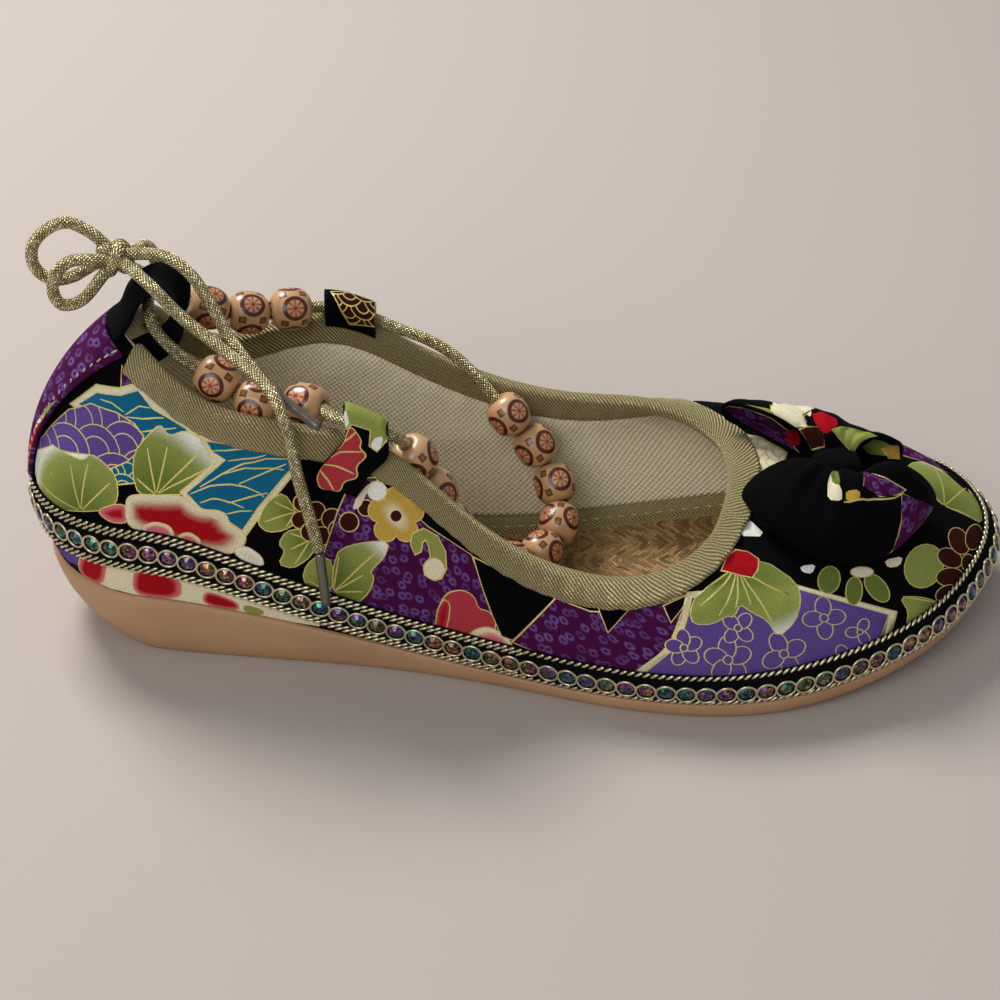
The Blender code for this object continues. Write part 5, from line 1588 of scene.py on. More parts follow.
def vamp_under(x, y):
    """Height of the vamp straight below places in plan."""
    a, b = np.meshgrid(np.arange(7.5, 17.0, 0.5) / ROUND, np.arange(0.2, 1.01, 0.1), indexing="ij")
    sample = np.stack([a.ravel(), b.ravel()], axis=1)
    spread = plan(upper_cloth(sample))
    target = np.stack([np.ravel(x), np.ravel(y)], axis=1)
    near = ((spread[None] - target[:, None]) ** 2).sum(axis=2).argmin(axis=1)
    ab = close_in(sample[near], lambda q: plan(upper_cloth(q)), target)
    return upper_cloth(ab)[:, 2].reshape(np.shape(x))


def even_path(route, count):
    """Evenly spaced points on a smooth curve through a route."""
    return even(smooth(route, 0.8), count)


def tube(line, radius, sides=12):
    """Points, faces and cloth coordinates of a round tube along a line, its ends closed."""
    line = np.asarray(line, float)
    tangent = np.gradient(line, axis=0)
    tangent /= np.linalg.norm(tangent, axis=1, keepdims=True)
    side = np.cross(tangent[0], (0.31, 0.22, 0.93))
    rays = []
    for t in tangent:
        side = side - t * np.dot(side, t)
        side = side / np.linalg.norm(side)
        rays.append((side, np.cross(t, side)))
    angle = np.arange(sides) * TURN / sides
    radius = np.broadcast_to(np.asarray(radius, float), (len(line),))
    points = []
    for p, (a, b), r in zip(line, rays, radius):
        points.append(p + r * (np.cos(angle)[:, None] * a + np.sin(angle)[:, None] * b))
    faces = grid_faces(len(line), sides, False, True)
    run = running(line)
    uv = []
    for f in faces:
        last = f[0] % sides == sides - 1
        for v in f:
            turn = sides if last and v % sides == 0 else v % sides
            uv.append((turn / sides, run[v // sides]))
    end = (len(line) - 1) * sides
    faces = faces + [tuple(range(sides)), tuple(range(end, end + sides))]
    uv = uv + [(k / sides, 0.0) for k in range(sides)] + [(k / sides, run[-1]) for k in range(sides)]
    return np.concatenate(points), faces, np.array(uv)


def ladder(n):
    """Cross faces between the lateral and the medial half of a ring of n points."""
    quads = [(i, i + 1, (n - i - 1) % n, (n - i) % n) for i in range(n // 2)]
    return [tuple(dict.fromkeys(quad)) for quad in quads]


def plain_uv(points, faces):
    """Cloth coordinates for a piece seen from above."""
    return np.asarray(points, float)[corners(faces)][:, :2]


class SHOE_OT_sole(bpy.types.Operator):
    """Foamed-rubber wedge sole with its rounded lower edge and toe spring"""
    bl_idname = "shoe.sole"
    bl_label = "Sole"

    def execute(self, context):
        u = around_shoe(SOLE_STEPS)
        v, slope = rows_at(u)
        n = outward(slope)
        foot = v[:, FOOT]
        rings = []
        for draw, drop in SOLE_EDGE:
            p = foot + n * (SOLE_MARGIN - (v[:, INSET, None] + SOLE_MARGIN) * draw)
            p[:, 2] = foot[:, 2] - (foot[:, 2] - np.maximum(v[:, SOLE_Z], 0.0)) * drop
            rings.append(p)
        grid = np.stack(rings, axis=1)
        count, rows = grid.shape[:2]
        points = grid.reshape(-1, 3)
        faces = grid_faces(count, rows, True, False)
        for end in (0, rows - 1):
            faces += [tuple(k * rows + end for k in quad) for quad in ladder(count)]
        obj = make("sole", points, faces, [material(foamed_rubber)], uv=plain_uv(points, faces))
        dress(obj, "outsole", "outsole")
        return {"FINISHED"}


class SHOE_OT_insole(bpy.types.Operator):
    """Straw-weave insole with its gold edge tape and stitches"""
    bl_idname = "shoe.insole"
    bl_label = "Insole"

    def execute(self, context):
        u = around_shoe(SOLE_STEPS)
        v, slope = rows_at(u)
        n = outward(slope)
        foot = v[:, FOOT]
        top = GAP + INSOLE_THICK
        rings = []
        steps = ((0.0, GAP), (0.0, top - 0.5), (0.4, top - 0.1), (1.0, top), (6.6, top), (7.2, top - 0.45),
                 (9.0, top - 0.5))
        for inward, height in steps:
            rings.append(foot - n * (WALL + INSOLE_CLEAR + inward) + UP * height)
        grid = np.stack(rings, axis=1)
        count, rows = grid.shape[:2]
        edge = grid[:, -1]
        half = count // 2
        left = edge[:half + 1]
        right = np.concatenate([edge[:1], edge[:half - 1:-1]])
        share = np.linspace(0.0, 1.0, 9)[1:-1]
        fill = left[:, None] + (right - left)[:, None] * share[None, :, None]
        points = np.concatenate([grid.reshape(-1, 3), fill.reshape(-1, 3)])
        faces = grid_faces(count, rows, True, False)
        run = running(grid[:, 3])
        which = [1] * len(faces)
        uv = []
        for f in faces:
            for k in f:
                uv.append((run[k // rows], steps[k % rows][0]))
        offset = count * rows
        inner = []
        for i in range(half):
            ids = []
            for j in (i, i + 1):
                row = [j * rows + rows - 1]
                row += [offset + j * len(share) + k for k in range(len(share))]
                row.append(((count - j) % count) * rows + rows - 1)
                ids.append(row)
            for k in range(len(share) + 1):
                inner.append((ids[0][k], ids[1][k], ids[1][k + 1], ids[0][k + 1]))
        under = [tuple(k * rows for k in quad) for quad in ladder(count)]
        faces += inner + under
        which += [0] * (len(inner) + len(under))
        uv = np.concatenate([np.array(uv), plain_uv(points, inner + under)])
        obj = make("insole_straw", points, faces, [material(woven_straw), material(metallic_twill)], uv=uv,
                   which=which)
        dress(obj, "insole", "insole")
        line = foot - n * (WALL + INSOLE_CLEAR + STITCH_INSET) + UP * (top + 0.12)
        spots = even(np.concatenate([line, line[:1]]), INSOLE_STITCHES + 1)[:-1]
        along = np.gradient(spots, axis=0)
        stitches = repeat("insole_stitches", "grain", spots, np.tile(UP, (len(spots), 1)), along,
                          material(stitch_thread), sizes().stitch * 0.9, INSOLE_THREAD * MM)
        dress(stitches, "insole")
        return {"FINISHED"}


def repeat(name, kind, spots, out, along, mat, size, thick, lean=0.0):
    """One small shape set on many spots by geometry nodes, then turned into a plain mesh."""
    mesh = bpy.data.meshes.new(name)
    mesh.from_pydata((np.asarray(spots) * MM).tolist(), [], [])
    for key, rows in (("out", out), ("along", along)):
        rows = np.asarray(rows, float)
        mesh.attributes.new(key, "FLOAT_VECTOR", "POINT").data.foreach_set("vector", rows.ravel())
    chance = np.random.default_rng(SEED).random(len(spots))
    mesh.attributes.new("shade", "FLOAT", "POINT").data.foreach_set("value", chance)
    obj = bpy.data.objects.new(name, mesh)
    bpy.context.scene.collection.objects.link(obj)
    tree = bpy.data.node_groups.new(name, "GeometryNodeTree")
    tree.interface.new_socket("Geometry", in_out="INPUT", socket_type="NodeSocketGeometry")
    wanted = {"Size": size, "Thick": thick, "Lean": lean, "Material": mat}
    for key in wanted:
        typed = "NodeSocketMaterial" if key == "Material" else "NodeSocketFloat"
        tree.interface.new_socket(key, in_out="INPUT", socket_type=typed)
    tree.interface.new_socket("Geometry", in_out="OUTPUT", socket_type="NodeSocketGeometry")
    given = put(tree, "NodeGroupInput").node.outputs
    half = put(tree, "MULTIPLY", (given["Size"], 0.5))
    wire = put(tree, "MULTIPLY", (given["Thick"], 0.5))
    if kind == "ring":
        middle = put(tree, "SUBTRACT", (half, wire))
        path = put(tree, "GeometryNodeCurvePrimitiveCircle", {"Resolution": 20, "Radius": middle})
        section = put(tree, "GeometryNodeCurvePrimitiveCircle", {"Resolution": 6, "Radius": wire})
        shape = put(tree, "GeometryNodeCurveToMesh", {"Curve": path, "Profile Curve": section})
    elif kind == "sequin":
        top = put(tree, "MULTIPLY", (half, 0.5))
        shape = put(tree, "GeometryNodeMeshCone", {
            "Vertices": 8, "Radius Top": top, "Radius Bottom": half, "Depth": given["Thick"]})
    else:
        ball = put(tree, "GeometryNodeMeshUVSphere", {"Segments": 8, "Rings": 6, "Radius": 1.0})
        stretch = put(tree, JOIN, {"X": half, "Y": wire, "Z": wire})
        turn = put(tree, JOIN, {"Z": given["Lean"]})
        shape = put(tree, "GeometryNodeTransform", {"Geometry": ball, "Rotation": turn, "Scale": stretch})
    up = put(tree, "GeometryNodeInputNamedAttribute", {"Name": "out"}, data_type="FLOAT_VECTOR")
    way = put(tree, "GeometryNodeInputNamedAttribute", {"Name": "along"}, data_type="FLOAT_VECTOR")
    stand = put(tree, "FunctionNodeAlignRotationToVector", {"Vector": up}, axis="Z")
    turned = put(tree, "FunctionNodeAlignRotationToVector", {"Rotation": stand, "Vector": way}, axis="X",
                 pivot_axis="Z")
    many = put(tree, "GeometryNodeInstanceOnPoints", {
        "Points": given["Geometry"], "Instance": shape, "Rotation": turned})
    real = put(tree, "GeometryNodeRealizeInstances", {"Geometry": many})
    painted = put(tree, "GeometryNodeSetMaterial", {"Geometry": real, "Material": given["Material"]})
    put(tree, "NodeGroupOutput", {"Geometry": painted})
    modifier = obj.modifiers.new("repeat", "NODES")
    modifier.node_group = tree
    for item in tree.interface.items_tree:
        if item.in_out == "INPUT" and item.name in wanted:
            modifier[item.identifier] = wanted[item.name]
    bpy.context.view_layer.update()
    result = bpy.data.meshes.new_from_object(obj.evaluated_get(bpy.context.evaluated_depsgraph_get()))
    obj.modifiers.clear()
    obj.data = result
    result.polygons.foreach_set("use_smooth", np.full(len(result.polygons), kind != "sequin"))
    return obj


class SHOE_OT_binding(bpy.types.Operator):
    """Folded metallic twill tape over the collar edge"""
    bl_idname = "shoe.binding"
    bl_label = "Collar binding"

    def execute(self, context):
        count = BINDING_STEPS
        u = np.linspace(*BINDING_ENDS, count)
        whole = rib_long(u)
        rim = on_last(u, whole)
        run = running(rim)
        wave = np.sin(TURN * run / BINDING_WAVES[0]) + 0.6 * np.sin(TURN * run / BINDING_WAVES[1] + 1.1)
        middle = -WALL / 2
        reach = WALL / 2 + GAP + BINDING_THICK
        rows = [(-BINDING_OUT, GAP * 0.4, 0.0), (-BINDING_OUT - 0.1, 0.75, 0.35),
                (-BINDING_OUT + 0.7, 1.2, 0.8), (-4.8, 1.3, 1.0), (-3.2, 1.32, 0.9), (-1.6, 1.28, 0.5)]
        for k in range(1, 8):
            a = math.pi * k / 8
            rows.append((reach * 0.95 * math.sin(a) - 0.5, middle + reach * math.cos(a), 0.2))
        rows += [(-1.6, -WALL - 1.25, 0.3), (-4.0, -WALL - 1.3, 0.7), (-BINDING_IN + 1.2, -WALL - 1.2, 0.7),
                 (-BINDING_IN + 0.2, -WALL - 0.9, 0.3), (-BINDING_IN, -WALL - GAP * 0.4, 0.0)]
        profile = np.array(rows)
        along = whole[:, None] + profile[None, :, 0] + 0.16 * wave[:, None] * (profile[None, :, 2] > 0.3)
        stir = profile[None, :, 2] * np.sign(profile[None, :, 1] + 1.0)
        out = profile[None, :, 1] + 0.10 * wave[:, None] * stir
        shell = on_grid(u, along, out)
        core = on_grid(u, whole[:, None] + np.array([[-BINDING_IN + 1.0, 0.1, 0.1, -BINDING_OUT + 1.0]]),
                       np.array([[-WALL - 0.15, -WALL - 0.15, 0.15, 0.15]]))
        grid = np.concatenate([shell, core], axis=1)
        m = grid.shape[1]
        faces = grid_faces(count, m, False, True)
        step = np.linalg.norm(np.diff(shell[count // 2], axis=0), axis=1)
        across = np.concatenate([[0.0], np.cumsum(step), [0.0] * core.shape[1]])
        uv = np.stack(np.meshgrid(run, across, indexing="ij"), axis=-1).reshape(-1, 2)
        faces += [tuple(range(m)), tuple(range((count - 1) * m, count * m))]
        obj = make("collar_tape", grid.reshape(-1, 3), faces, [material(metallic_twill)], uv=uv)
        dress(obj, "collar_binding", "collar_binding")
        return {"FINISHED"}


def on_trim(u, across, out):
    """Points on the braid: across is 0 at its lower edge and 1 at its upper edge."""
    low, high = trim_edges(u)
    return off_last(u, low + (high - low) * across, out)


def around_trim(across, out, pitch, rear=False):
    """Evenly spaced spots along the braid with their out and along directions; across runs along the rows."""
    u = np.linspace(0.0, ROUND, 2 * CLOTH_STEPS + 1)
    line = on_trim(u, across(u), out)
    run = running(line)
    count = int(round(run[-1] / pitch))
    at = np.interp(np.arange(count) * run[-1] / count, run, u)
    if rear:
        at = at[(at < REAR_ROWS[0]) | (at > REAR_ROWS[1])]
    spots = on_trim(at, across(at), out)
    low, high = trim_edges(at)
    facing = square_to(at, low + (high - low) * across(at))
    along = on_trim(at + 0.01, across(at), out) - on_trim(at - 0.01, across(at), out)
    return spots, facing, along / np.linalg.norm(along, axis=1, keepdims=True)


def ring_row(u):
    """Height of the ring row on the braid: the middle at the heel, lower towards the toe."""
    return 0.37 + 0.13 * (soft_step(8.0, 5.0, u) + soft_step(16.0, 19.0, u))


class SHOE_OT_trim(bpy.types.Operator):
    """Black ribbon braid with twisted edge cords, a row of rings and cut sequins"""
    bl_idname = "shoe.trim"
    bl_label = "Braid trim"

    def execute(self, context):
        u = around_shoe(CLOTH_STEPS)
        low, high = trim_edges(u)
        share, out = np.array(RIBBON).T
        along = low[:, None] + (high - low)[:, None] * share[None]
        grid = on_grid(u, along, np.broadcast_to(out, along.shape))
        m = grid.shape[1]
        faces = grid_faces(len(u), m, True, True)
        uv = cloth_uv(np.repeat(u, m), along.ravel())
        obj = make("braid_ribbon", grid.reshape(-1, 3), faces, [material(black_cotton)], uv=uv)
        dress(obj, "braid_trim", "braid_trim")
        s = sizes()
        pitch = s.ring_pitch / MM
        spots = around_trim(ring_row, RING_OUT, pitch)
        rings = repeat("braid_rings", "ring", *spots, material(pale_gold), s.ring, s.ring_wire)
        dress(rings, "braid_trim")
        spots = around_trim(ring_row, SEQUIN_OUT, pitch)
        gems = repeat("braid_sequins", "sequin", *spots, material(coated_sequin), s.sequin, SEQUIN_THICK * MM)
        dress(gems, "braid_trim")
        rows = [around_trim(lambda u, f=f: np.full(len(u), f), 1.0, s.twist_pitch / MM, rear)
                for f, rear in EDGE_CORDS]
        places = [np.concatenate(parts) for parts in zip(*rows)]
        grains = repeat("braid_edges", "grain", *places, material(pale_gold), s.twist,
                        GRAIN_THICK * MM, GRAIN_LEAN)
        dress(grains, "braid_trim")
        return {"FINISHED"}


class SHOE_OT_heel(bpy.types.Operator):
    """Purple strip down the back and the black cloth tab above it"""
    bl_idname = "shoe.heel"
    bl_label = "Heel strip and tab"

    def execute(self, context):
        n, m = 61, 41
        low = trim_edges(np.array([0.0]))[1][0] + GAP
        t = np.linspace(0.0, 1.0, n)
        along = low + (rib_long(0.0)[0] - STRIP_BELOW - low) * t
        half = STRIP_LOW_HALF + (STRIP_TOP_HALF - STRIP_LOW_HALF) * t**1.4
        side = np.linspace(-1.0, 1.0, m)
        u = beside(np.zeros(n), along, half)[:, None] * side[None]
        share = along[:, None] * rib_long(u.ravel()).reshape(u.shape) / rib_long(0.0)
        grid = off_last(u.ravel(), share.ravel(), STRIP_OFF + STRIP_THICK / 2).reshape(n, m, 3)
        cloth, size = grid_cloth(grid, STRIP_THICK)
        lay_photo(cloth, PRINT_STRIP)
        obj = printed("heel_overlay", cloth, size, (16, 40), STRIP_THICK, lambda ab: ab * size,
                      [material(printed_cotton)], ground=PURPLE, ground_finish=DYED)
        dress(obj, "heel_strip", "heel_strip")
        seams = []
        for a in STRIP_SEAMS:
            fine, coarse = (np.stack([np.full(count, a), np.linspace(0.02, 0.98, count)], axis=1)
                            for count in (60, SEAM_STITCHES))
            line = even(cloth.place(fine, 0.1), SEAM_STITCHES)
            facing = cloth.place(coarse, 1.1) - line
            seams.append((line, facing, np.gradient(line, axis=0)))
        stitches = repeat("heel_stitches", "grain", *[np.concatenate(parts) for parts in zip(*seams)],
                          material(stitch_thread), sizes().stitch, HEEL_THREAD * MM)
        dress(stitches, "heel_strip")
        paths = []
        for j in np.linspace(-1.0, 1.0, 15):
            w = beside(0.0, rib_long(0.0), j * TAB_HALF)
            whole = rib_long(w)
            rim = on_last(w, whole)[0]
            path = [off_last(w, whole + a, b)[0] for a, b in TAB_START]
            path += [rim + np.array([a, 0.0, b]) for a, b in TAB_ARCH]
            path += [off_last(w, whole + a, b)[0] for a, b in TAB_END]
            paths.append(even_path(path, 60))
        grid = np.swapaxes(np.array(paths), 0, 1)
        cloth, size = grid_cloth(grid, STRAP_THICK)
        obj = printed("heel_pull", cloth, size, (14, 40), STRAP_THICK, lambda ab: ab * size,
                      [material(black_cotton)])
        dress(obj, "heel_tab", "heel_tab")
        return {"FINISHED"}


class SHOE_OT_loops(bpy.types.Operator):
    """Cloth loops on both sides that carry the tie cord"""
    bl_idname = "shoe.loops"
    bl_label = "Side loops"

    def execute(self, context):
        for spec in LOOPS:
            clear = GAP + BINDING_THICK + LOOP_EASE + STRAP_THICK / 2
            paths = []
            for j in np.linspace(-1.0, 1.0, 17):
                low_u = beside(spec.low_u, rib_long(spec.low_u) - spec.low_drop, j * spec.half)
                top_u = beside(spec.top_u, rib_long(spec.top_u), j * spec.half)
                mid_u = low_u + (top_u - low_u) * 0.35
                high_u = (mid_u + top_u) / 2
                whole = rib_long(top_u)
                rim = on_last(top_u, whole)[0]
                n = square_to(top_u, whole - 0.5)[0]
                path = [
                    off_last(low_u, rib_long(low_u) - spec.low_drop, 1.0)[0],
                    off_last(mid_u, rib_long(mid_u) - BINDING_OUT - 0.3, clear + 0.1)[0],
                    off_last(high_u, rib_long(high_u) - 3.0, clear + 0.4)[0],
                    rim + n * (clear + 0.3) + UP * 1.5,
                    rim + n * 1.6 + UP * (spec.rise - 1.4),
                    rim - n * WALL / 2 + UP * spec.rise,
                    rim - n * (WALL + 1.6) + UP * (spec.rise - 1.4),
                    rim - n * (WALL + 1.9) + UP * 2.2,
                    rim - n * (WALL + 0.9) - UP * 0.6,
                ]
                paths.append(even_path(path, 70))
            grid = np.swapaxes(np.array(paths), 0, 1)
            cloth, size = grid_cloth(grid, STRAP_THICK)
            lay_photo(cloth, PRINT_LOOP[spec.name])
            obj = printed(spec.name + "_cloth", cloth, size, (12, 48), STRAP_THICK, lambda ab: ab * size,
                          [material(printed_cotton)])
            dress(obj, spec.name, spec.name)
        return {"FINISHED"}


def wing_grid(name, table, way, n, m):
    """Middle points of a bow loop: from the knot out along the vamp, round the fold and back on top."""
    edge = np.array(table)
    spots = np.linspace(-1.0, 1.0, len(edge))
    s = np.linspace(-1.0, 1.0, n)
    tip = np.stack([np.polyval(np.polyfit(spots, edge[:, k], 4), s) for k in (0, 1)], axis=1)
    stand = np.interp(s, spots, edge[:, 2])
    foot = np.stack([BOW_AT[0] + s * KNOT_WING_HALF, np.full(n, BOW_AT[1] + way * BOW_REACH)], axis=1)
    stations = ((0.0, -1), (0.35, -1), (0.7, -1), (0.94, -1), (1.0, 0), (0.94, 1), (0.7, 1), (0.4, 1),
                (0.16, 1), (0.0, 1))
    lines = []
    for r, side in stations:
        xy = foot + (tip - foot) * r
        base = vamp_under(xy[:, 0], xy[:, 1])
        low = 2.3 + 1.2 * r * np.maximum(0.0, stand - 3.0)
        puff = 2.6 + WING_PUFF[name] * math.sin(math.pi * r**0.65) ** 0.8 + 1.4 * r
        pleat = (0.7 * np.sin(2.5 * math.pi * s) + 0.32 * np.sin(7.0 * math.pi * s + 0.6)) * (1 - r) * 4 * r
        high = low + puff + pleat
        z = base + (low if side < 0 else high if side > 0 else (low + high) / 2)
        lines.append(np.stack([xy[:, 0], xy[:, 1], z], axis=1))
    stack = np.array(lines)
    return np.swapaxes(np.array([even_path(stack[:, k], m) for k in range(n)]), 0, 1)


class SHOE_OT_bow(bpy.types.Operator):
    """Cloth bow on the vamp: two puffed loops and the crossing band"""
    bl_idname = "shoe.bow"
    bl_label = "Bow"

    def execute(self, context):
        for name, table, way in (("bow_wing_lateral", WING_LATERAL, -1), ("bow_wing_medial", WING_MEDIAL, 1)):
            grid = wing_grid(name, table, way, 41, 61)
            cloth, size = grid_cloth(grid[:, ::-1] if way > 0 else grid, STRAP_THICK)
            lay_photo(cloth, PRINT_BOW[name])
            inner = Cloth(lambda ab, out=0.0: cloth.place(ab, -out), cloth.scale)
            lay_photo(inner, PRINT_BOW_INSIDE[name])
            cloth.patches += inner.patches
            obj = printed(name + "_cloth", cloth, size, (40, 60), STRAP_THICK, lambda ab: ab * size,
                          [material(printed_cotton)])
            dress(obj, "bow", name)
        base = float(vamp_under(np.array([BOW_AT[0]]), np.array([BOW_AT[1]]))[0])
        around, rows = 48, 25
        lat = np.linspace(-math.pi / 2, math.pi / 2, rows)
        lon = np.arange(around) * TURN / around
        a, b = np.meshgrid(lat, lon, indexing="ij")
        ball = (np.cos(a) * np.cos(b), np.cos(a) * np.sin(b), np.sin(a))
        box = [np.sign(w) * np.abs(w) ** BOW_KNOT_SQUARE for w in ball]
        half = BOW_KNOT_HALF
        crease = 1.0 + 0.05 * np.sin(9.0 * box[0]) * np.cos(a)
        grid = np.stack([BOW_AT[0] + box[0] * half[0], BOW_AT[1] + box[1] * half[1] * crease,
                         base + 0.6 + half[2] + box[2] * half[2] * crease], axis=-1)
        faces = grid_faces(rows, around, False, True)
        points = grid.reshape(-1, 3)
        at = corners(faces)
        tint = np.tile(np.asarray(BLACK), (len(at), 1))
        obj = make("bow_band", points, faces, [material(printed_cotton)], uv=plain_uv(points, faces),
                   tint=tint, finish=np.zeros(len(at)))
        dress(obj, "bow", "bow_knot")
        return {"FINISHED"}


def strand_axes():
    """Places of the strand's stops and the strand's direction at each."""
    at = np.array([s[1:] for s in STRAND])
    axes = np.concatenate([at[1:2] - at[:1], at[2:] - at[:-2], at[-1:] - at[-2:-1]])
    return at, axes / np.linalg.norm(axes, axis=1, keepdims=True)


def strand_line(step):
    """The strand's centreline: smooth between the beads, straight inside each."""
    at, axes = strand_axes()
    route = []
    for stop, p, axis in zip(STRAND, at, axes):
        if stop.kind == "bead":
            route += [p - axis * BEAD_LONG * 0.48, p - axis * 1.5, p + axis * 1.5,
                      p + axis * BEAD_LONG * 0.48]
        else:
            route.append(p)
    return smooth(route, step)


class SHOE_OT_beads(bpy.types.Operator):
    """Sixteen printed wooden beads on the strand"""
    bl_idname = "shoe.beads"
    bl_label = "Beads"

    def execute(self, context):
        at, axes = strand_axes()
        around = 40
        half = BEAD_LONG / 2 + BEAD_FULL
        profile = [(t * half, BEAD_R * (1.0 - abs(t) ** BEAD_POWER) ** (1 / BEAD_POWER))
                   for t in np.linspace(-0.96, 0.96, 21)]
        profile = [(-0.88 * half, BEAD_BORE)] + profile + [(0.88 * half, BEAD_BORE)]
        rows = len(profile)
        points, faces, uv = [], [], []
        chance = np.random.default_rng(SEED)
        nodes = []
        for stop, p, axis in zip(STRAND, at, axes):
            if stop.kind != "bead":
                continue
            side = np.cross(axis, np.array([0.3, 0.2, 1.0]))
            side /= np.linalg.norm(side)
            other = np.cross(axis, side)
            spin = chance.random()
            base = len(points)
            for k in range(around):
                a = TURN * (k / around + spin)
                ray = side * math.cos(a) + other * math.sin(a)
                points += [p + axis * h + ray * r for h, r in profile]
            mine = grid_faces(around, rows, True, True, base)
            for f in mine:
                wrap = f[0] - base >= (around - 1) * rows
                for v in f:
                    k, row = divmod(v - base, rows)
                    uv.append(((around if wrap and k == 0 else k) / around, row / (rows - 1)))
            faces += mine
            nodes.append("bead_%02d" % (len(nodes) + 1))
        obj = make("beads", points, faces, [material(printed_bead)], uv=uv)
        dress(obj, "bead", *nodes)
        return {"FINISHED"}


def cord_tube(name, line, sides=14):
    """A length of the tie cord along a line; its braid cells come out whole round the cord."""
    radius = sizes().cord / MM / 2
    points, faces, uv = tube(line, radius, sides)
    uv = uv * np.array([CORD_CELLS, CORD_CELLS / (TURN * radius)])
    return make(name, points, faces, [material(foil_braid)], uv=uv)


class SHOE_OT_cords(bpy.types.Operator):
    """Foil-braid tie cord: strand, tied loops, knot, hanging ends and aglets"""
    bl_idname = "shoe.cords"
    bl_label = "Tie cord"

    def execute(self, context):
        for name, ends, mat, slot in (("aglet_long", AGLET_LONG, drawn_steel, "aglet_metal"),
                                      ("aglet_short", AGLET_SHORT, smoked_acetate, "aglet_clear")):
            line = even(ends, 24)
            run = np.linspace(0.0, 1.0, 24)
            radius = AGLET_R * (1.0 - 0.22 * soft_step(0.94, 1.0, run) - 0.12 * soft_step(0.05, 0.0, run))
            points, faces, uv = tube(line, radius, 24)
            obj = make(name + "_tube", points, faces, [material(mat)],
                       uv=uv * np.array([TURN * AGLET_R, 1.0]))
            dress(obj, slot, name)
        turn = np.linspace(0.0, TURN, 121)
        wrap = np.stack([np.sin(turn) + 2.0 * np.sin(2.0 * turn), np.cos(turn) - 2.0 * np.cos(2.0 * turn),
                         -np.sin(3.0 * turn)], axis=1)
        wrap = np.asarray(KNOT_AT) + wrap * np.array(KNOT_SPREAD)
        knot = cord_tube("cord_tie", wrap)
        dress(knot, "cord", "cord_knot")
        rows = (
            ("tie_strand", strand_line(CORD_STEP), "knot", "taut", ["cord_tie", "beads"]),
            ("cord_loop_upper", smooth(LOOP_UPPER, CORD_STEP), "knot", "loose", ["cord_tie"]),
            ("cord_loop_lower", smooth(LOOP_LOWER, CORD_STEP), "knot", "loose", ["cord_tie"]),
            ("cord_tail_long", smooth(TAIL_LONG, CORD_STEP), "fitting", "hanging", ["aglet_long_tube"]),
            ("cord_tail_short", smooth(TAIL_SHORT, CORD_STEP), "fitting", "loose", ["aglet_short_tube"]),
        )
        for name, line, far_end, lay, others in rows:
            obj = cord_tube(name + "_braid", line)
            dress(obj, "cord", name)
            path = [tuple(float(c) * MM for c in p) for p in (*line[::4], line[-1])]
        return {"FINISHED"}


def placed(right, over, back, place):
    """Matrix of a lamp or camera from its three directions and its place."""
    rows = np.stack([right, over, back], axis=1).tolist()
    return Matrix([(*row, p) for row, p in zip(rows, place)] + [(0.0, 0.0, 0.0, 1.0)])


class SHOE_OT_stage(bpy.types.Operator):
    """Pale floor, soft light from the upper left and the photo's camera"""
    bl_idname = "shoe.stage"
    bl_label = "Floor, light and camera"

    def execute(self, context):
        scene = context.scene
        scene.view_settings.view_transform = "Standard"
        sides = ((-1, -1), (1, -1), (1, 1), (-1, 1))
        painted = blank("painted_floor", Roughness=0.8, Base_Color=opaque(colours().floor))[0]
        points = [(FLOOR_HALF * a, FLOOR_HALF * b, 0.0) for a, b in sides]
        floor = make("floor", points, [(0, 1, 2, 3)], [painted], mend=False)
        world = bpy.data.worlds.new("fill")
        world.use_nodes = True
        tree = world.node_tree
        fill_in(tree, tree.nodes["Background"], {"Color": FILL_COLOUR, "Strength": FILL_STRENGTH})
        scene.world = world
        for name, place, size, power in LAMPS:
            lamp = bpy.data.lights.new(name, "AREA")
            lamp.size = size
            lamp.energy = power
            lamp.color = LAMP_COLOUR
            holder = bpy.data.objects.new(name, lamp)
            back = np.asarray(place) / np.linalg.norm(place)
            right = np.cross(UP, back)
            right /= np.linalg.norm(right)
            holder.matrix_world = placed(right, np.cross(back, right), back, place)
            scene.collection.objects.link(holder)
        right, over, ahead = camera_axes()
        data = bpy.data.cameras.new("photo_camera")
        data.sensor_width = SENSOR
        data.lens = SENSOR * FOCAL_PX / FRAME_PX
        data.clip_start = 0.01
        camera = bpy.data.objects.new("photo_camera", data)
        camera.matrix_world = placed(right, over, -ahead, (camera_place() * MM).tolist())
        scene.collection.objects.link(camera)
        scene.camera = camera
        return {"FINISHED"}


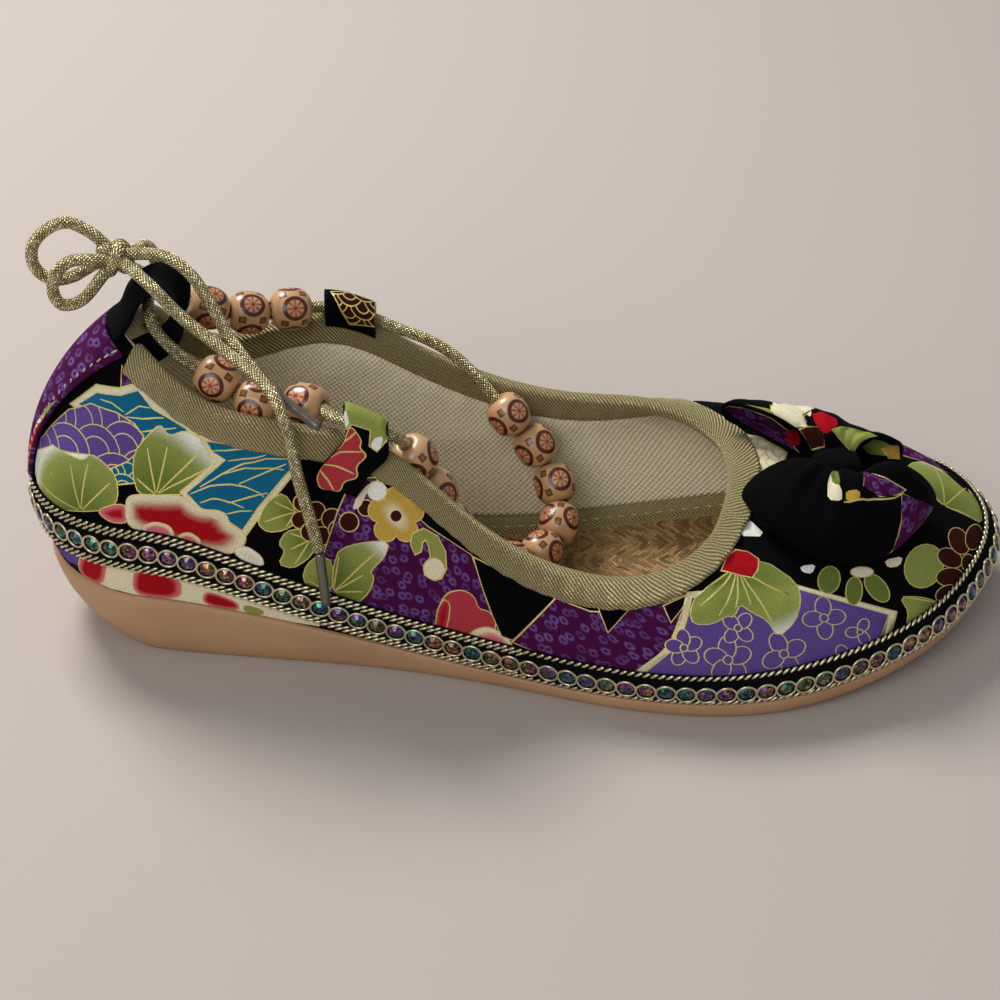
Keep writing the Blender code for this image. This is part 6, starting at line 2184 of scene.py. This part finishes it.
class SHOE_OT_upper(bpy.types.Operator):
    """Printed cotton upper on canvas, with its creases and lining"""
    bl_idname = "shoe.upper"
    bl_label = "Upper"

    def execute(self, context):
        cloth = Cloth(upper_cloth, upper_scale)
        lay_photo(cloth, PRINT)
        for row in PRINT_FAR:
            at = np.array(row.pixels) / np.array([ROUND, 1.0])
            lay_print(cloth, row, at, cloth.on_cloth(at[0]))

        def threads_at(ab):
            u = ab[:, 0] * ROUND
            return cloth_uv(u, ab[:, 1] * rib_long(u))

        obj = printed("upper_cloth", cloth, UPPER_FLAT, UPPER_CELLS, WALL, threads_at,
                      [material(printed_cotton), material(lining_canvas)], closed=True)
        dress(obj, "upper", "upper")
        u = around_shoe(CLOTH_STEPS)
        share = np.linspace(0.03, 0.985, 28)
        along = rib_long(u)[:, None] * np.concatenate([share, share[::-1]])
        m = along.shape[1]
        clear = soft_step(BINDING_IN - 1.0, BINDING_IN + 2.5, rib_long(u)[:, None] - along)
        out = creases(np.repeat(u, m), along.ravel()).reshape(along.shape) - WALL
        out = out - np.repeat([0.1, 0.02], m // 2) - np.repeat([0.65, 0.45], m // 2) * clear
        uv = cloth_uv(np.repeat(u, m), along.ravel())
        points = on_grid(u, along, out).reshape(-1, 3)
        faces = grid_faces(len(u), m, True, True)
        lining = make("upper_lining", points, faces, [material(lining_canvas)], uv=uv)
        dress(lining, "upper")
        return {"FINISHED"}


STEPS = (
    SHOE_OT_stage, SHOE_OT_beads, SHOE_OT_cords, SHOE_OT_sole, SHOE_OT_insole, SHOE_OT_upper, SHOE_OT_binding,
    SHOE_OT_trim, SHOE_OT_heel, SHOE_OT_loops, SHOE_OT_bow,
)


class SHOE_PT_panel(bpy.types.Panel):
    """The shoe's pieces in the order they are put together"""
    bl_idname = "SHOE_PT_panel"
    bl_label = "Ankle Tie Flat"
    bl_space_type = "VIEW_3D"
    bl_region_type = "UI"
    bl_category = "Shoe"

    def draw(self, context):
        layout = self.layout
        for group in (context.scene.shoe_sizes, context.scene.shoe_colours):
            box = layout.box()
            for name in group.bl_rna.properties.keys():
                if name not in ("rna_type", "name"):
                    box.prop(group, name)
        for step in STEPS:
            layout.operator(step.bl_idname)


CLASSES = (ShoeSizes, ShoeColours, *STEPS, SHOE_PT_panel)


def register():
    """Registers the shoe's classes and its settings on the scene."""
    for cls in CLASSES:
        bpy.utils.register_class(cls)
    bpy.types.Scene.shoe_sizes = PointerProperty(type=ShoeSizes)
    bpy.types.Scene.shoe_colours = PointerProperty(type=ShoeColours)


def unregister():
    """Takes the settings and classes away again."""
    del bpy.types.Scene.shoe_colours
    del bpy.types.Scene.shoe_sizes
    for cls in reversed(CLASSES):
        bpy.utils.unregister_class(cls)


def main():
    """Builds the shoe in order."""
    register()
    bpy.ops.shoe.stage()
    bpy.ops.shoe.beads()
    bpy.ops.shoe.cords()
    bpy.ops.shoe.sole()
    bpy.ops.shoe.insole()
    bpy.ops.shoe.upper()
    bpy.ops.shoe.binding()
    bpy.ops.shoe.trim()
    bpy.ops.shoe.heel()
    bpy.ops.shoe.loops()
    bpy.ops.shoe.bow()


if __name__ == "__main__":
    main()
